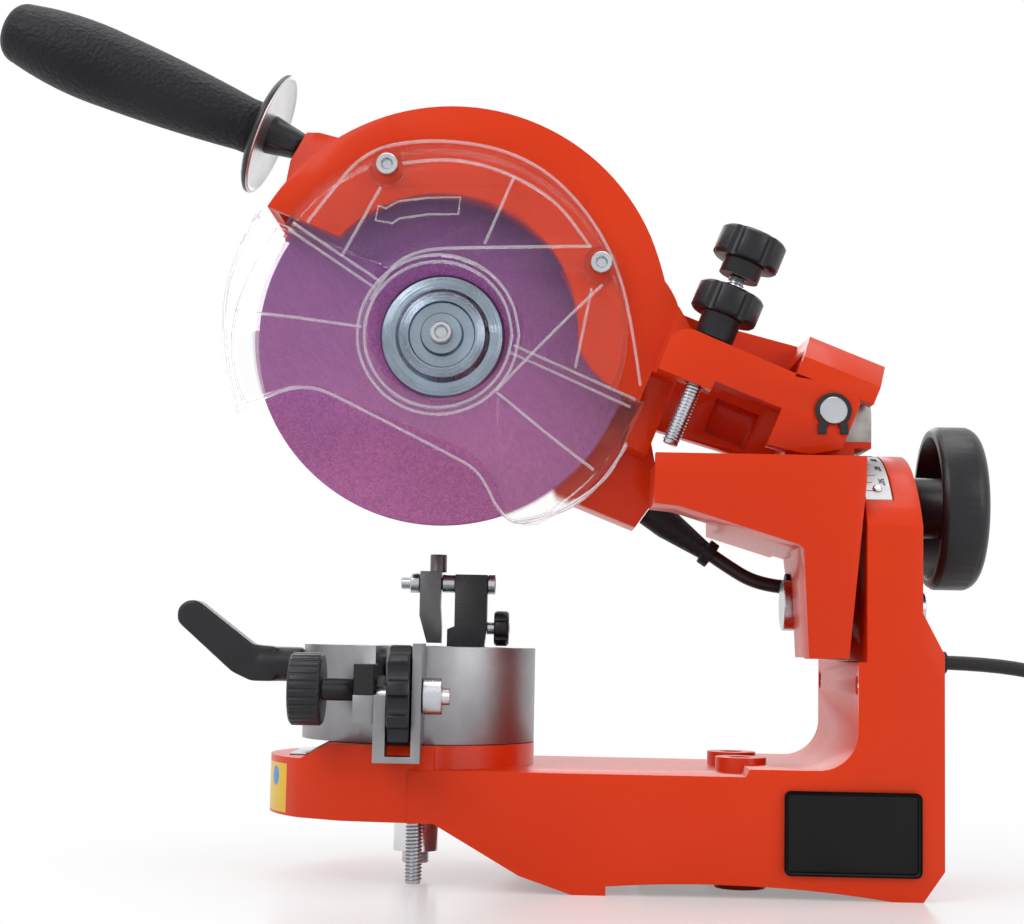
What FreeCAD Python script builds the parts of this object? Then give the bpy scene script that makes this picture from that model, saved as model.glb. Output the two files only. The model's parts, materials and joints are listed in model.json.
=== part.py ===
import FreeCAD, Part
import Sketcher
import math
import os

# Bench sharpener for saw chains: a cast base with a chain vise, and a tilting head that
# carries the motor and the grinding wheel on a sprung arm.
# Frame: X runs from the vise to the post, Y away from the viewer, Z up. The origin lies on
# the bench, midway between the two bench bolts.

Vector = FreeCAD.Vector

# Driving sizes in millimetres and degrees, one group for each sub-part.

BASE_SIZES = {
    "base_width": 100.0,
    "vise_reach": 120.0,
    "floor_height": 42.0,
    "step_height": 44.7,
    "step_run": 1.4,
    "nose_front": 55.0,
    "nose_corner_reach": 40.0,
    "nose_corner_width": 37.0,
    "nose_bulge_reach": 24.0,
    "nose_bulge_width": 46.5,
    "nose_underside": 23.5,
    "nose_top": 44.5,
    "bevel_reach": 27.5,
    "platform_radius": 43.8,
    "platform_top": 50.3,
    "belly_start": 9.0,
    "belly_knee_reach": 39.4,
    "belly_knee_height": 6.2,
    "foot_outer": 62.0,
    "foot_inner": 50.0,
    "arch_step": 3.2,
    "arch_rise": 4.6,
    "heel_radius": 7.5,
    "post_face": 38.0,
    "post_corner_radius": 14.0,
    "post_pad_face": 41.0,
    "post_pad_margin": 0.4,
    "post_back_low": 68.2,
    "post_back_high": 60.6,
    "shoulder_low_drop": 17.3,
    "shoulder_high_drop": 2.8,
    "crown_margin": 7.3,
    "scale_step": 0.9,
    "under_pocket_height": 34.0,
    "under_pocket_reach": 36.0,
    "casting_wall": 6.0,
    "bench_bolt_spacing": 36.0,
    "bench_hole_radius": 4.25,
    "bench_boss_radius": 9.3,
    "bench_boss_top": 47.2,
    "post_screw_spread": 45.5,
    "post_screw_height": 74.7,
    "post_screw_radius": 3.4,
    "post_screw_depth": 6.0,
    "post_screw_sink": 0.6,
}
TILT_SIZES = {
    "tilt_height": 103.3,
    "pivot_radius": 6.0,
    "shaft_clearance": 0.05,
    "seat_gap": 0.3,
    "lock_radius": 38.0,
    "lock_bolt_radius": 5.0,
    "lock_slot_clearance": 0.6,
    "slot_near_angle": 52.0,
    "slot_far_angle": 12.0,
    "pivot_head_radius": 9.5,
    "pivot_nut_thickness": 6.0,
    "pivot_washer_thickness": 1.6,
    "scale_thickness": 0.8,
    "scale_width": 10.5,
    "scale_near_angle": 50.0,
    "scale_far_angle": 12.0,
    "rivet_radius": 1.8,
    "rivet_height": 0.9,
    "rivet_inset_angle": 6.0,
    "bracket_left": 34.4,
    "bracket_top_rise": 52.7,
    "bracket_knee_reach": 26.0,
    "bracket_knee_rise": 33.7,
    "bracket_left_rise": 34.5,
    "bracket_leg_reach": 22.0,
    "bracket_leg_rise": 19.2,
    "bracket_leg_bottom_reach": 26.0,
    "bracket_wall": 5.0,
    "bracket_end_wall": 6.6,
    "bracket_foot_radius": 20.0,
    "flare_rise": 14.7,
    "flare_width": 36.5,
    "flare_neck_rise": 27.7,
    "flare_neck_width": 38.5,
    "flare_top_rise": 43.7,
    "beak_inner": 14.0,
    "beak_run": 8.0,
    "channel_floor_rise": 39.7,
    "channel_low_rise": 30.7,
    "channel_knee_reach": 2.0,
    "landing_radius": 7.0,
    "landing_rise": 41.0,
    "landing_reach": 22.0,
    "boss_radius": 16.0,
    "boss_near": 21.5,
    "boss_far": 12.0,
    "boss_lip_drop": 12.3,
    "boss_root_rise": 47.7,
    "big_knob_radius": 31.0,
    "big_knob_rim_face": 72.2,
    "big_knob_thickness": 17.7,
    "big_knob_dome": 5.0,
    "big_knob_wall": 4.0,
    "big_knob_hub_radius": 11.5,
    "big_knob_depth": 11.0,
}
HEAD_SIZES = {
    "hinge_reach": 31.0,
    "hinge_rise": 70.6,
    "raise_angle": 21.5,
    "hinge_pin_radius": 5.0,
    "hinge_pin_overhang": 1.6,
    "circlip_radius": 6.6,
    "spring_radius": 8.2,
    "circlip_thickness": 1.0,
    "ear_outer": 34.0,
    "ear_thickness": 10.0,
    "ear_radius": 11.9,
    "ear_drop": 20.6,
    "ear_tail": 17.6,
    "ear_front": 8.2,
    "ear_front_drop": 11.7,
    "bar_top": 7.6,
    "bar_bottom": 6.2,
    "near_bar_thickness": 14.0,
    "lug_end": 65.0,
    "lug_run": 21.0,
    "lug_top": 8.4,
    "lug_bottom": 9.8,
    "far_bar_thickness": 8.0,
    "far_bar_outer": 32.0,
    "far_bar_top": 23.3,
    "far_bar_bottom": 24.0,
    "window_left": 39.0,
    "window_right": 21.0,
    "window_top": 3.0,
    "window_bottom": 18.0,
    "hood_start": 17.2,
    "hood_end": 12.8,
    "hood_top": 28.2,
    "hood_under": 17.2,
    "hood_slope": 12.0,
    "root_left": 80.0,
    "root_right": 56.5,
    "root_top": 16.6,
    "root_bottom": 38.0,
    "root_near": 9.0,
    "spindle_reach": 146.0,
    "spindle_drop": 25.4,
    "shroud_radius": 81.8,
    "shroud_offset_out": 1.9,
    "shroud_offset_up": 5.0,
    "shroud_near": 20.0,
    "shroud_far": 16.5,
    "shroud_wall": 4.0,
    "shroud_left_end": 9.0,
    "shroud_flat": 66.6,
    "lip_radius": 52.0,
    "back_disc_radius": 43.0,
    "fillet_reach": 69.0,
    "handle_drop": 22.8,
    "handle_boss_end": 226.0,
    "handle_boss_run": 34.0,
    "handle_boss_half": 6.0,
    "handle_rod_radius": 5.2,
    "ferrule_radius": 7.6,
    "ferrule_run": 13.0,
    "handle_rod_insert": 18.0,
    "shield_radius": 24.2,
    "shield_thickness": 3.0,
    "shield_rim": 2.2,
    "grip_length": 113.0,
    "grip_neck_radius": 10.6,
    "grip_belly_radius": 15.1,
    "grip_end_radius": 9.5,
    "terminal_left": 100.0,
    "terminal_right": 47.5,
    "terminal_top": 30.0,
    "terminal_bottom": 63.5,
    "terminal_near": 17.0,
    "terminal_far": 44.0,
}
MOTOR_SIZES = {
    "wheel_radius": 72.5,
    "wheel_thickness": 3.2,
    "wheel_bore_radius": 11.1,
    "shaft_radius": 6.0,
    "flange_radius": 24.0,
    "flange_thickness": 3.4,
    "flange_cone_radius": 16.6,
    "flange_step_radius": 12.6,
    "flange_step_height": 7.0,
    "flange_hub_radius": 8.0,
    "flange_hub_height": 9.5,
    "flange_recess": 1.2,
    "inner_flange_radius": 22.0,
    "spindle_screw_radius": 4.1,
    "spindle_screw_height": 4.2,
    "spindle_socket_radius": 2.4,
    "motor_radius": 38.0,
    "motor_length": 84.0,
    "motor_wall": 4.0,
    "motor_cap_length": 14.0,
    "motor_cap_round": 9.0,
    "bearing_radius": 14.0,
    "bearing_width": 9.0,
    "stator_radius": 33.8,
    "stator_bore_radius": 22.0,
    "rotor_radius": 21.4,
    "core_length": 48.0,
    "core_offset": 18.0,
    "relief_root_radius": 6.0,
    "relief_end_radius": 3.6,
    "relief_collar_radius": 5.2,
    "relief_collar_run": 4.0,
    "relief_length": 31.0,
    "relief_angle": 13.4,
    "relief_side": 24.0,
    "relief_drop": 54.8,
    "lead_radius": 2.7,
    "grommet_radius": 5.4,
    "grommet_thickness": 1.6,
    "grommet_insert": 5.0,
    "lead_entry_side": 24.0,
    "lead_entry_rise": 7.7,
}
GUARD_SIZES = {
    "guard_front": 26.0,
    "guard_plate": 2.0,
    "guard_wall": 2.0,
    "upper_guard_radius": 70.2,
    "lower_guard_radius": 81.4,
    "guard_depth": 16.4,
    "guard_split_left": 12.0,
    "guard_split_right": 22.0,
    "guard_split_gap": 0.4,
    "guard_opening_radius": 26.6,
    "guard_ring_radius": 31.0,
    "guard_ring_height": 1.6,
    "guard_bottom": 64.0,
    "guard_notch_left": 183.7,
    "guard_notch_right": 115.5,
    "guard_lobe_left": 203.5,
    "guard_lobe_right": 92.4,
    "guard_lobe_depth": 82.6,
    "guard_screw_left": 187.7,
    "guard_screw_left_rise": 23.5,
    "guard_screw_right": 99.3,
    "guard_screw_right_rise": 19.6,
    "guard_boss_radius": 6.6,
    "guard_screw_radius": 2.5,
    "guard_screw_head_radius": 4.0,
    "guard_screw_head_height": 3.2,
    "guard_rib_height": 1.8,
    "guard_rib_width": 1.6,
}
STOP_SIZES = {
    "stop_rod_reach": 50.3,
    "stop_rod_side": 27.0,
    "stop_rod_radius": 3.3,
    "stop_rod_end": 33.4,
    "stop_knob_radius": 12.8,
    "stop_knob_top": 50.8,
    "stop_knob_thickness": 11.4,
    "stop_knob_hub_radius": 7.6,
    "stop_knob_hub_run": 5.6,
    "stop_knob_lobe_radius": 2.4,
    "lock_knob_top": 28.4,
    "lock_knob_thickness": 10.8,
    "lock_knob_base_radius": 7.5,
    "thread_clearance": 0.08,
}
VISE_SIZES = {
    "drum_radius": 43.7,
    "drum_bottom": 50.6,
    "drum_top": 85.3,
    "chain_line": -2.8,
    "chain_gap": 2.0,
    "jaw_thickness": 6.6,
    "jaw_left_thickness": 6.0,
    "jaw_depth": 24.0,
    "jaw_far_end": 42.0,
    "jaw_near_end": 38.8,
    "jaw_travel": 1.4,
    "slot_spring_gap": 2.0,
    "guide_near": 66.0,
    "guide_far": 44.2,
    "guide_step": 56.0,
    "guide_step_height": 51.2,
    "guide_left_outer": 11.5,
    "guide_left_inner": 7.3,
    "guide_right_inner": 1.7,
    "guide_right_outer": 4.9,
    "guide_bottom": 45.2,
    "guide_floor": 2.2,
    "guide_left_top": 68.4,
    "guide_right_top": 86.4,
    "roller_radius": 17.6,
    "roller_width": 7.6,
    "roller_height": 68.2,
    "roller_side": 58.0,
    "roller_lobe_radius": 4.2,
    "roller_shaft_radius": 3.0,
    "roller_nut_radius": 6.4,
    "roller_nut_run": 7.0,
    "roller_stub_run": 2.6,
    "lug_block_left": 19.0,
    "lug_block_right": 11.5,
    "lug_block_bottom": 58.4,
    "lug_block_top": 68.2,
    "screw_block_top": 79.0,
    "adjuster_height": 69.8,
    "adjuster_side": 55.0,
    "adjuster_knob_radius": 12.7,
    "adjuster_knob_left": 41.6,
    "adjuster_knob_thickness": 11.5,
    "adjuster_shaft_radius": 3.9,
    "lever_height": 77.5,
    "lever_radius": 6.6,
    "lever_root": 61.0,
    "lever_tip_reach": 88.0,
    "lever_tip_rise": 19.0,
    "lever_tip_radius": 5.6,
    "lever_pin_radius": 4.0,
    "lever_pin_insert": 32.0,
    "turntable_range": 35.0,
    "turntable_bolt_radius": 5.0,
    "turntable_bolt_end": 4.5,
    "lock_stud_radius": 3.2,
    "lock_stud_side": 38.0,
    "lock_stud_offset": 1.8,
    "lock_stud_bottom": 1.2,
    "lock_lever_radius": 6.6,
    "lock_lever_bottom": 9.0,
    "lock_lever_top": 21.5,
    "lock_arm_radius": 3.6,
    "lock_arm_length": 34.0,
    "lock_arm_angle": 100.0,
}
CHAIN_STOP_SIZES = {
    "stop_side": 30.0,
    "stop_block_left": 11.5,
    "stop_block_right": 24.2,
    "stop_block_foot_left": 8.7,
    "stop_block_top": 113.6,
    "stop_block_split": 93.2,
    "stop_block_width": 10.8,
    "stop_bolt_height": 110.0,
    "stop_bolt_radius": 2.5,
    "stop_bolt_left": -10.0,
    "stop_nut_left": -6.4,
    "stop_nut_right": -2.7,
    "stop_nut_radius": 4.0,
    "stop_spacer_radius": 3.6,
    "stop_head_right": 27.4,
    "pawl_left": -2.4,
    "pawl_right": 6.0,
    "pawl_width": 9.0,
    "pawl_tip_left": 0.7,
    "pawl_tip_bottom": 86.5,
    "pawl_top": 114.7,
    "pawl_handle_radius": 3.3,
    "pawl_handle_top": 121.4,
    "pawl_handle_reach": 4.5,
    "star_knob_height": 92.7,
    "star_knob_radius": 7.0,
    "star_knob_left": 25.9,
    "star_knob_thickness": 7.0,
    "star_washer_thickness": 1.2,
}
CORD_SIZES = {
    "cord_radius": 2.8,
    "cord_side": 25.0,
    "cord_height": 82.8,
    "gland_length": 16.0,
    "gland_radius": 6.2,
    "gland_end_radius": 4.2,
    "gland_insert": 8.0,
    "coil_radius": 32.0,
    "coil_half_width": 8.4,
    "coil_layers_height": 16.8,
    "coil_centre_reach": 262.0,
    "coil_centre_side": 96.0,
    "plug_radius": 19.0,
    "plug_height": 30.0,
    "plug_pin_radius": 2.4,
    "plug_pin_length": 19.0,
    "plug_pin_spacing": 19.0,
    "plug_neck_radius": 5.0,
    "plug_neck_length": 18.0,
    "switch_width": 19.0,
    "switch_height": 32.0,
    "switch_level": 66.0,
    "switch_reach": 55.4,
    "switch_depth": 16.0,
    "switch_rim": 2.6,
    "switch_proud": 1.6,
    "rocker_proud": 3.0,
    "rocker_gap": 0.35,
    "rocker_end_gap": 2.6,
    "rocker_pin_radius": 1.3,
    "rocker_pin_insert": 1.5,
    "rocker_pin_depth": 3.0,
    "vise_scale_thickness": 0.7,
    "cut_overrun": 2.0,
}

# Heights and radii that follow from the sizes above.

FOLLOWING_SIZES = {
    "crown_radius": "base_width / 2 + crown_margin",
    "bracket_top": "tilt_height + bracket_top_rise",
    "bracket_knee_height": "tilt_height + bracket_knee_rise",
    "bracket_left_height": "tilt_height + bracket_left_rise",
    "bracket_leg_height": "tilt_height + bracket_leg_rise",
    "flare_height": "tilt_height + flare_rise",
    "flare_neck_height": "tilt_height + flare_neck_rise",
    "flare_top_height": "tilt_height + flare_top_rise",
    "channel_floor": "tilt_height + channel_floor_rise",
    "channel_floor_low": "tilt_height + channel_low_rise",
    "landing_height": "tilt_height + landing_rise",
    "boss_root": "tilt_height + boss_root_rise",
    "hinge_height": "tilt_height + hinge_rise",
    "lead_entry_height": "tilt_height + lead_entry_rise",
    "boss_lip_height": "hinge_height - boss_lip_drop",
    "post_pad_bottom": "tilt_height - bracket_foot_radius - post_pad_margin",
    "shoulder_low": "tilt_height - shoulder_low_drop",
    "shoulder_high": "tilt_height - shoulder_high_drop",
}

# Ratios that shape the pieces, with no unit.

DEGREES_PER_RADIAN = 57.3
EIGHTH_TURN = 0.7071
HALF = 0.5
SIXTH_TURN_RISE = 0.866
RIVET_SHOULDER = 0.84
RIVET_SHOULDER_RISE = 0.66
RIVET_FLAT = 0.45
BEVEL_LEVEL = 0.75
LOCK_HEAD_SHARE = 0.7
KNOB_CROWN = 0.955
KNOB_CROWN_RISE = 0.4
KNOB_FLAT = 0.85
KNOB_DOME_RISE = 0.3
EAR_TOP_REACH = 0.2
EAR_TOP_RISE = 0.98
EAR_HEEL_REACH = 0.1
EAR_HEEL_DROP = 0.85
EAR_TOE_DROP = 0.92
FOUR_FIFTHS = 0.8
THREE_FIFTHS = 0.6
FILLET_REACH = 0.1
FILLET_RISE = 0.12
DISC_SHOULDER = 0.4
BEYOND_RIM = 1.2
LIP_LEFT_REACH = 0.94
LIP_LEFT_RISE = 0.36
LIP_RIGHT_REACH = 0.96
LIP_RIGHT_RISE = 0.28
LIP_CURL_REACH = 1.14
LIP_CURL_RISE = 0.14
LUG_CORNER_REACH = 0.35
LUG_CORNER_RISE = 0.82
HOOD_TOP_ROUND = 0.3
HOOD_SIDE_ROUND = 0.2
RELIEF_SEAT = 1.3
HANDLE_BOSS_SIDE = 1.6
HANDLE_BOSS_FOOT = 1.4
HANDLE_BOSS_CORNER = 0.7
CLIP_LUG_REACH = 2.2
CLIP_GAPE = 0.8
GRIP_NECK_RUN = 0.1
GRIP_SWELL = 1.26
GRIP_SWELL_RUN = 0.34
GRIP_WANE = 0.97
GRIP_END_RUN = 0.94
GRIP_ROUND_RUN = 0.985
GRIP_END_FLAT = 0.4
GUARD_LEFT_REACH = 0.98
GUARD_LEFT_DROP = 0.199
GUARD_RIGHT_REACH = 0.94
GUARD_RIGHT_DROP = 0.341
ROUND_MIDDLE = 0.3
FLANGE_EDGE = 0.3
FLANGE_STEP_ROOT = 0.4
SCREW_BORE = 0.75
SCREW_RUN = 1.5
RELIEF_SHOULDER = 0.3
LEAD_START = 0.1
LEAD_STRAIGHT = 1.12
LEAD_ENTRY = 0.34
BEND_SHARE = 0.45
NOTCH_SHALLOWNESS = 0.3
BLOCK_MARGIN = 1.8
KNURL_COUNT = 28
LEVER_NECK = 0.3
LEVER_SHOULDER = 1.1
TIP_TOP_REACH = 0.9
TIP_END_REACH = 0.45
TIP_END_RISE = 0.55
LEVER_UNDER_REACH = 1.5
LEVER_HEEL = 0.4
PLUG_FACE = 0.9
PLUG_WAIST = 0.4

doc = FreeCAD.newDocument("ChainSharpener")
sheet = doc.addObject("Spreadsheet::Sheet", "Sizes")


class Size:
    """A number together with the spreadsheet expression that gives it."""

    def __init__(self, value, text):
        self.value = float(value)
        self.text = text

    def combine(self, other, sign, value):
        return Size(value, f"({self.text} {sign} {as_size(other).text})")

    def __add__(self, other):
        return self.combine(other, "+", self.value + as_size(other).value)

    def __radd__(self, other):
        return as_size(other) + self

    def __sub__(self, other):
        return self.combine(other, "-", self.value - as_size(other).value)

    def __rsub__(self, other):
        return as_size(other) - self

    def __mul__(self, other):
        return self.combine(other, "*", self.value * as_size(other).value)

    def __rmul__(self, other):
        return as_size(other) * self

    def __truediv__(self, other):
        return self.combine(other, "/", self.value / as_size(other).value)

    def __neg__(self):
        return Size(-self.value, f"(0 - {self.text})")


def as_size(number):
    if isinstance(number, Size):
        return number
    return Size(number, f"({number})" if number < 0 else f"{number}")


def cosine(angle):
    angle = as_size(angle)
    return Size(math.cos(math.radians(angle.value)), f"cos({angle.text})")


def sine(angle):
    angle = as_size(angle)
    return Size(math.sin(math.radians(angle.value)), f"sin({angle.text})")


def root(number):
    return Size(math.sqrt(number.value), f"sqrt({number.text})")


def write_sheet():
    row = 1
    for group in (
        BASE_SIZES, TILT_SIZES, HEAD_SIZES, MOTOR_SIZES, GUARD_SIZES,
        STOP_SIZES, VISE_SIZES, CHAIN_STOP_SIZES, CORD_SIZES,
    ):
        for name, value in group.items():
            sheet.set(f"A{row}", name)
            sheet.set(f"B{row}", str(value))
            sheet.setAlias(f"B{row}", name)
            row += 1
    for name, rule in FOLLOWING_SIZES.items():
        sheet.set(f"A{row}", name)
        sheet.set(f"B{row}", f"={rule}")
        sheet.setAlias(f"B{row}", name)
        row += 1
    doc.recompute()


write_sheet()


class Cells:
    """Reads a size from the sheet by its alias."""

    def __getattr__(self, name):
        return Size(getattr(sheet, name), f"Sizes.{name}")


size = Cells()
zero = Size(0.0, "0")
nodes = {}


# Placing and binding.

def bind(target, path, amount):
    target.setExpression(path, as_size(amount).text)


def move(target, x, y, z):
    target.Placement.Base = Vector(as_size(x).value, as_size(y).value, as_size(z).value)
    for axis, amount in (("x", x), ("y", y), ("z", z)):
        bind(target, f"Placement.Base.{axis}", amount)


TURN_TO = {
    "Z": FreeCAD.Rotation(Vector(0, 0, 1), 0),
    "X": FreeCAD.Rotation(Vector(0, 1, 0), 90),
    "-X": FreeCAD.Rotation(Vector(0, 1, 0), -90),
    "Y": FreeCAD.Rotation(Vector(1, 0, 0), -90),
    "-Y": FreeCAD.Rotation(Vector(1, 0, 0), 90),
    "-Z": FreeCAD.Rotation(Vector(1, 0, 0), 180),
}


def stand(target, x, y, z, along="Z"):
    """Puts a piece drawn along Z at a point of the frame, turned to lie along an axis."""
    target.Placement = FreeCAD.Placement(Vector(0, 0, 0), TURN_TO[along])
    move(target, x, y, z)
    return target


def head_point(reach, rise):
    """A point of the level head, measured from the hinge, as a point of the raised head."""
    x = size.hinge_reach + reach * cosine(size.raise_angle) + rise * sine(size.raise_angle)
    z = size.hinge_height - reach * sine(size.raise_angle) + rise * cosine(size.raise_angle)
    return x, z


def stand_on_head(target, reach, side, rise, along="Z", lean=0):
    """Puts a piece on the head, where reach and rise are measured on the level head."""
    lift = FreeCAD.Rotation(Vector(0, 1, 0), size.raise_angle.value + as_size(lean).value)
    target.Placement = FreeCAD.Placement(Vector(0, 0, 0), lift.multiply(TURN_TO[along]))
    x, z = head_point(as_size(reach), as_size(rise))
    move(target, x, side, z)
    return target


def node(name, target):
    target.Label = name
    nodes[name] = target
    return target


# Sketches: an outline is a list of corners, and a Bend between two corners makes an arc.

class Bend:
    def __init__(self, x, y):
        self.x = as_size(x)
        self.y = as_size(y)


class Ring:
    def __init__(self, x, y, radius):
        self.x = as_size(x)
        self.y = as_size(y)
        self.radius = as_size(radius)


def flat(x, y):
    return Vector(as_size(x).value, as_size(y).value, 0)


def pin_point(sketch, geometry, end, x, y):
    for kind, amount in (("DistanceX", x), ("DistanceY", y)):
        amount = as_size(amount)
        index = sketch.addConstraint(Sketcher.Constraint(kind, geometry, end, amount.value))
        sketch.setExpression(f"Constraints[{index}]", amount.text)


def draw_ring(sketch, ring):
    circle = Part.Circle(flat(ring.x, ring.y), Vector(0, 0, 1), ring.radius.value)
    index = sketch.addGeometry(circle, False)
    pin_point(sketch, index, 3, ring.x, ring.y)
    bound = sketch.addConstraint(Sketcher.Constraint("Radius", index, ring.radius.value))
    sketch.setExpression(f"Constraints[{bound}]", ring.radius.text)


def draw_loop(sketch, corners):
    points = [item for item in corners if not isinstance(item, Bend)]
    bends = {}
    count = -1
    for item in corners:
        if isinstance(item, Bend):
            bends[count] = item
        else:
            count += 1
    ends = []
    for place, point in enumerate(points):
        following = points[(place + 1) % len(points)]
        start = flat(*point)
        finish = flat(*following)
        if place not in bends:
            index = sketch.addGeometry(Part.LineSegment(start, finish), False)
            ends.append((index, 1, 2))
            continue
        middle = flat(bends[place].x, bends[place].y)
        leftward = (middle - start).cross(finish - start).z > 0
        if leftward:
            index = sketch.addGeometry(Part.Arc(start, middle, finish), False)
            ends.append((index, 1, 2))
        else:
            index = sketch.addGeometry(Part.Arc(finish, middle, start), False)
            ends.append((index, 2, 1))
    for place, (index, _, last) in enumerate(ends):
        other, first, _ = ends[(place + 1) % len(ends)]
        sketch.addConstraint(Sketcher.Constraint("Coincident", index, last, other, first))
    for point, (index, first, _) in zip(points, ends):
        pin_point(sketch, index, first, *point)


def draw(sketch, loops):
    for loop in loops:
        if isinstance(loop, Ring):
            draw_ring(sketch, loop)
        else:
            draw_loop(sketch, loop)


# Solid features: a slab lies between two levels along the normal of its plane.

PLANES = {"XY": "XY_Plane", "XZ": "XZ_Plane", "YZ": "YZ_Plane"}
made = {"count": 0}


def new_name(word):
    made["count"] += 1
    return f"{word}{made['count']}"


def new_body(word):
    return doc.addObject("PartDesign::Body", new_name(word))


def new_sketch(body, plane, offset):
    sketch = body.newObject("Sketcher::SketchObject", new_name("Sketch"))
    carrier = [item for item in body.Origin.OriginFeatures if item.Role == PLANES[plane]][0]
    sketch.AttachmentSupport = [(carrier, "")]
    sketch.MapMode = "FlatFace"
    offset = as_size(offset)
    sketch.AttachmentOffset = FreeCAD.Placement(Vector(0, 0, offset.value), FreeCAD.Rotation())
    sketch.setExpression("AttachmentOffset.Base.z", offset.text)
    return sketch


def slab(body, kind, plane, low, high, *loops):
    low = as_size(low)
    high = as_size(high)
    if plane == "XZ":
        offset = -high if kind == "Pad" else -low
    else:
        offset = low if kind == "Pad" else high
    sketch = new_sketch(body, plane, offset)
    draw(sketch, loops)
    feature = body.newObject(f"PartDesign::{kind}", new_name(kind))
    feature.Profile = sketch
    length = high - low
    feature.Length = length.value
    bind(feature, "Length", length)
    return feature


def pad(body, plane, low, high, *loops):
    return slab(body, "Pad", plane, low, high, *loops)


def pocket(body, plane, low, high, *loops):
    return slab(body, "Pocket", plane, low, high, *loops)


def turned(word, profile):
    """A turned piece about Z from (radius, height) corners."""
    body = new_body(word)
    sketch = new_sketch(body, "XZ", 0)
    draw(sketch, [profile])
    feature = body.newObject("PartDesign::Revolution", new_name("Turn"))
    feature.Profile = sketch
    feature.ReferenceAxis = (sketch, ["V_Axis"])
    feature.Angle = 360
    return body


def ring_copies(body, feature, count):
    """Repeats a feature about the Z axis of its own body."""
    pattern = body.newObject("PartDesign::PolarPattern", new_name("Pattern"))
    pattern.Originals = [feature]
    axis = [item for item in body.Origin.OriginFeatures if item.Role == "Z_Axis"][0]
    pattern.Axis = (axis, [""])
    pattern.Angle = 360
    pattern.Occurrences = count
    body.Tip = pattern
    return pattern


def rod(word, radius, length):
    cylinder = doc.addObject("Part::Cylinder", new_name(word))
    bind(cylinder, "Radius", radius)
    bind(cylinder, "Height", length)
    return cylinder


def grouped(word, *parts):
    group = doc.addObject("Part::Compound", new_name(word))
    group.Links = list(parts)
    return group


def hexagon(x, y, across):
    """Corners of a hexagon whose corner radius is given."""
    return [
        (x + across * cosine(60 * turn), y + across * sine(60 * turn))
        for turn in range(6)
    ]


# Base casting.

vise_x = -size.vise_reach
half_base = size.base_width / 2


def crown_slot(near_angle, far_angle, radius, half_width):
    """An arc slot about the tilt axis, in the YZ plane; angles are taken from upright."""
    def spot(angle, reach):
        return -(reach * sine(angle)), size.tilt_height + reach * cosine(angle)

    outer = radius + half_width
    inner = radius - half_width
    middle = (near_angle - far_angle) / 2
    near_cap = near_angle + half_width / radius * DEGREES_PER_RADIAN
    far_cap = far_angle + half_width / radius * DEGREES_PER_RADIAN
    return [
        spot(near_angle, inner),
        Bend(*spot(near_cap, radius)),
        spot(near_angle, outer),
        Bend(*spot(middle, outer)),
        spot(-far_angle, outer),
        Bend(*spot(-far_cap, radius)),
        spot(-far_angle, inner),
        Bend(*spot(middle, inner)),
    ]


def turntable_slot(radius, half_width, middle_angle, half_span):
    """An arc slot about the vise axis, in the XY plane."""
    def spot(angle, reach):
        return vise_x + reach * cosine(angle), reach * sine(angle)

    cap = half_width / radius * DEGREES_PER_RADIAN
    low = middle_angle - half_span
    high = middle_angle + half_span
    return [
        spot(low, radius - half_width),
        Bend(*spot(low - cap, radius)),
        spot(low, radius + half_width),
        Bend(*spot(middle_angle, radius + half_width)),
        spot(high, radius + half_width),
        Bend(*spot(high + cap, radius)),
        spot(high, radius - half_width),
        Bend(*spot(middle_angle, radius - half_width)),
    ]


def base_side():
    s = size
    corner = s.post_corner_radius
    bent = corner * (1 - EIGHTH_TURN)
    heel = s.heel_radius
    return [
        (vise_x, s.nose_underside),
        (vise_x + s.belly_start, s.nose_underside),
        (vise_x + s.belly_knee_reach, s.belly_knee_height),
        (-s.foot_outer, 0),
        (-s.foot_inner, 0),
        (-s.foot_inner, s.arch_step),
        Bend(-(s.foot_inner / 6), s.arch_rise),
        (s.foot_inner, 0),
        (s.post_back_low - heel, 0),
        (s.post_back_low, heel + s.arch_step),
        (s.post_back_low, s.shoulder_low),
        (s.post_back_high, s.shoulder_high),
        (s.post_back_high, s.tilt_height + s.crown_radius + s.cut_overrun),
        (s.post_pad_face, s.tilt_height + s.crown_radius + s.cut_overrun),
        (s.post_pad_face, s.post_pad_bottom),
        (s.post_face, s.post_pad_bottom),
        (s.post_face, s.step_height + corner),
        Bend(s.post_face - bent, s.step_height + bent),
        (s.post_face - corner, s.step_height),
        (zero, s.step_height),
        (-s.step_run, s.floor_height),
        (vise_x, s.floor_height),
    ]


def nose_plan():
    s = size
    return [
        (vise_x + s.belly_start, -half_base),
        Bend(vise_x - s.nose_bulge_reach / 3, -half_base + s.nose_bulge_width / 40),
        (vise_x - s.nose_bulge_reach, -s.nose_bulge_width),
        (vise_x - s.nose_corner_reach, -s.nose_corner_width),
        Bend(vise_x - s.nose_front, 0),
        (vise_x - s.nose_corner_reach, s.nose_corner_width),
        (vise_x - s.nose_bulge_reach, s.nose_bulge_width),
        Bend(vise_x - s.nose_bulge_reach / 3, half_base - s.nose_bulge_width / 40),
        (vise_x + s.belly_start, half_base),
    ]


def crown_cut(side):
    """The waste outside the crown, on the near (-1) or far (+1) half."""
    s = size
    top = s.tilt_height + s.crown_radius + s.cut_overrun * 2
    level = s.tilt_height + root(s.crown_radius * s.crown_radius - half_base * half_base)
    lean = s.crown_radius * HALF
    upright = s.crown_radius * SIXTH_TURN_RISE
    far_out = half_base + s.cut_overrun
    return [
        (side * half_base, level),
        Bend(side * lean, s.tilt_height + upright),
        (zero, s.tilt_height + s.crown_radius),
        (zero, top),
        (side * far_out, top),
        (side * far_out, level),
    ]


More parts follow.
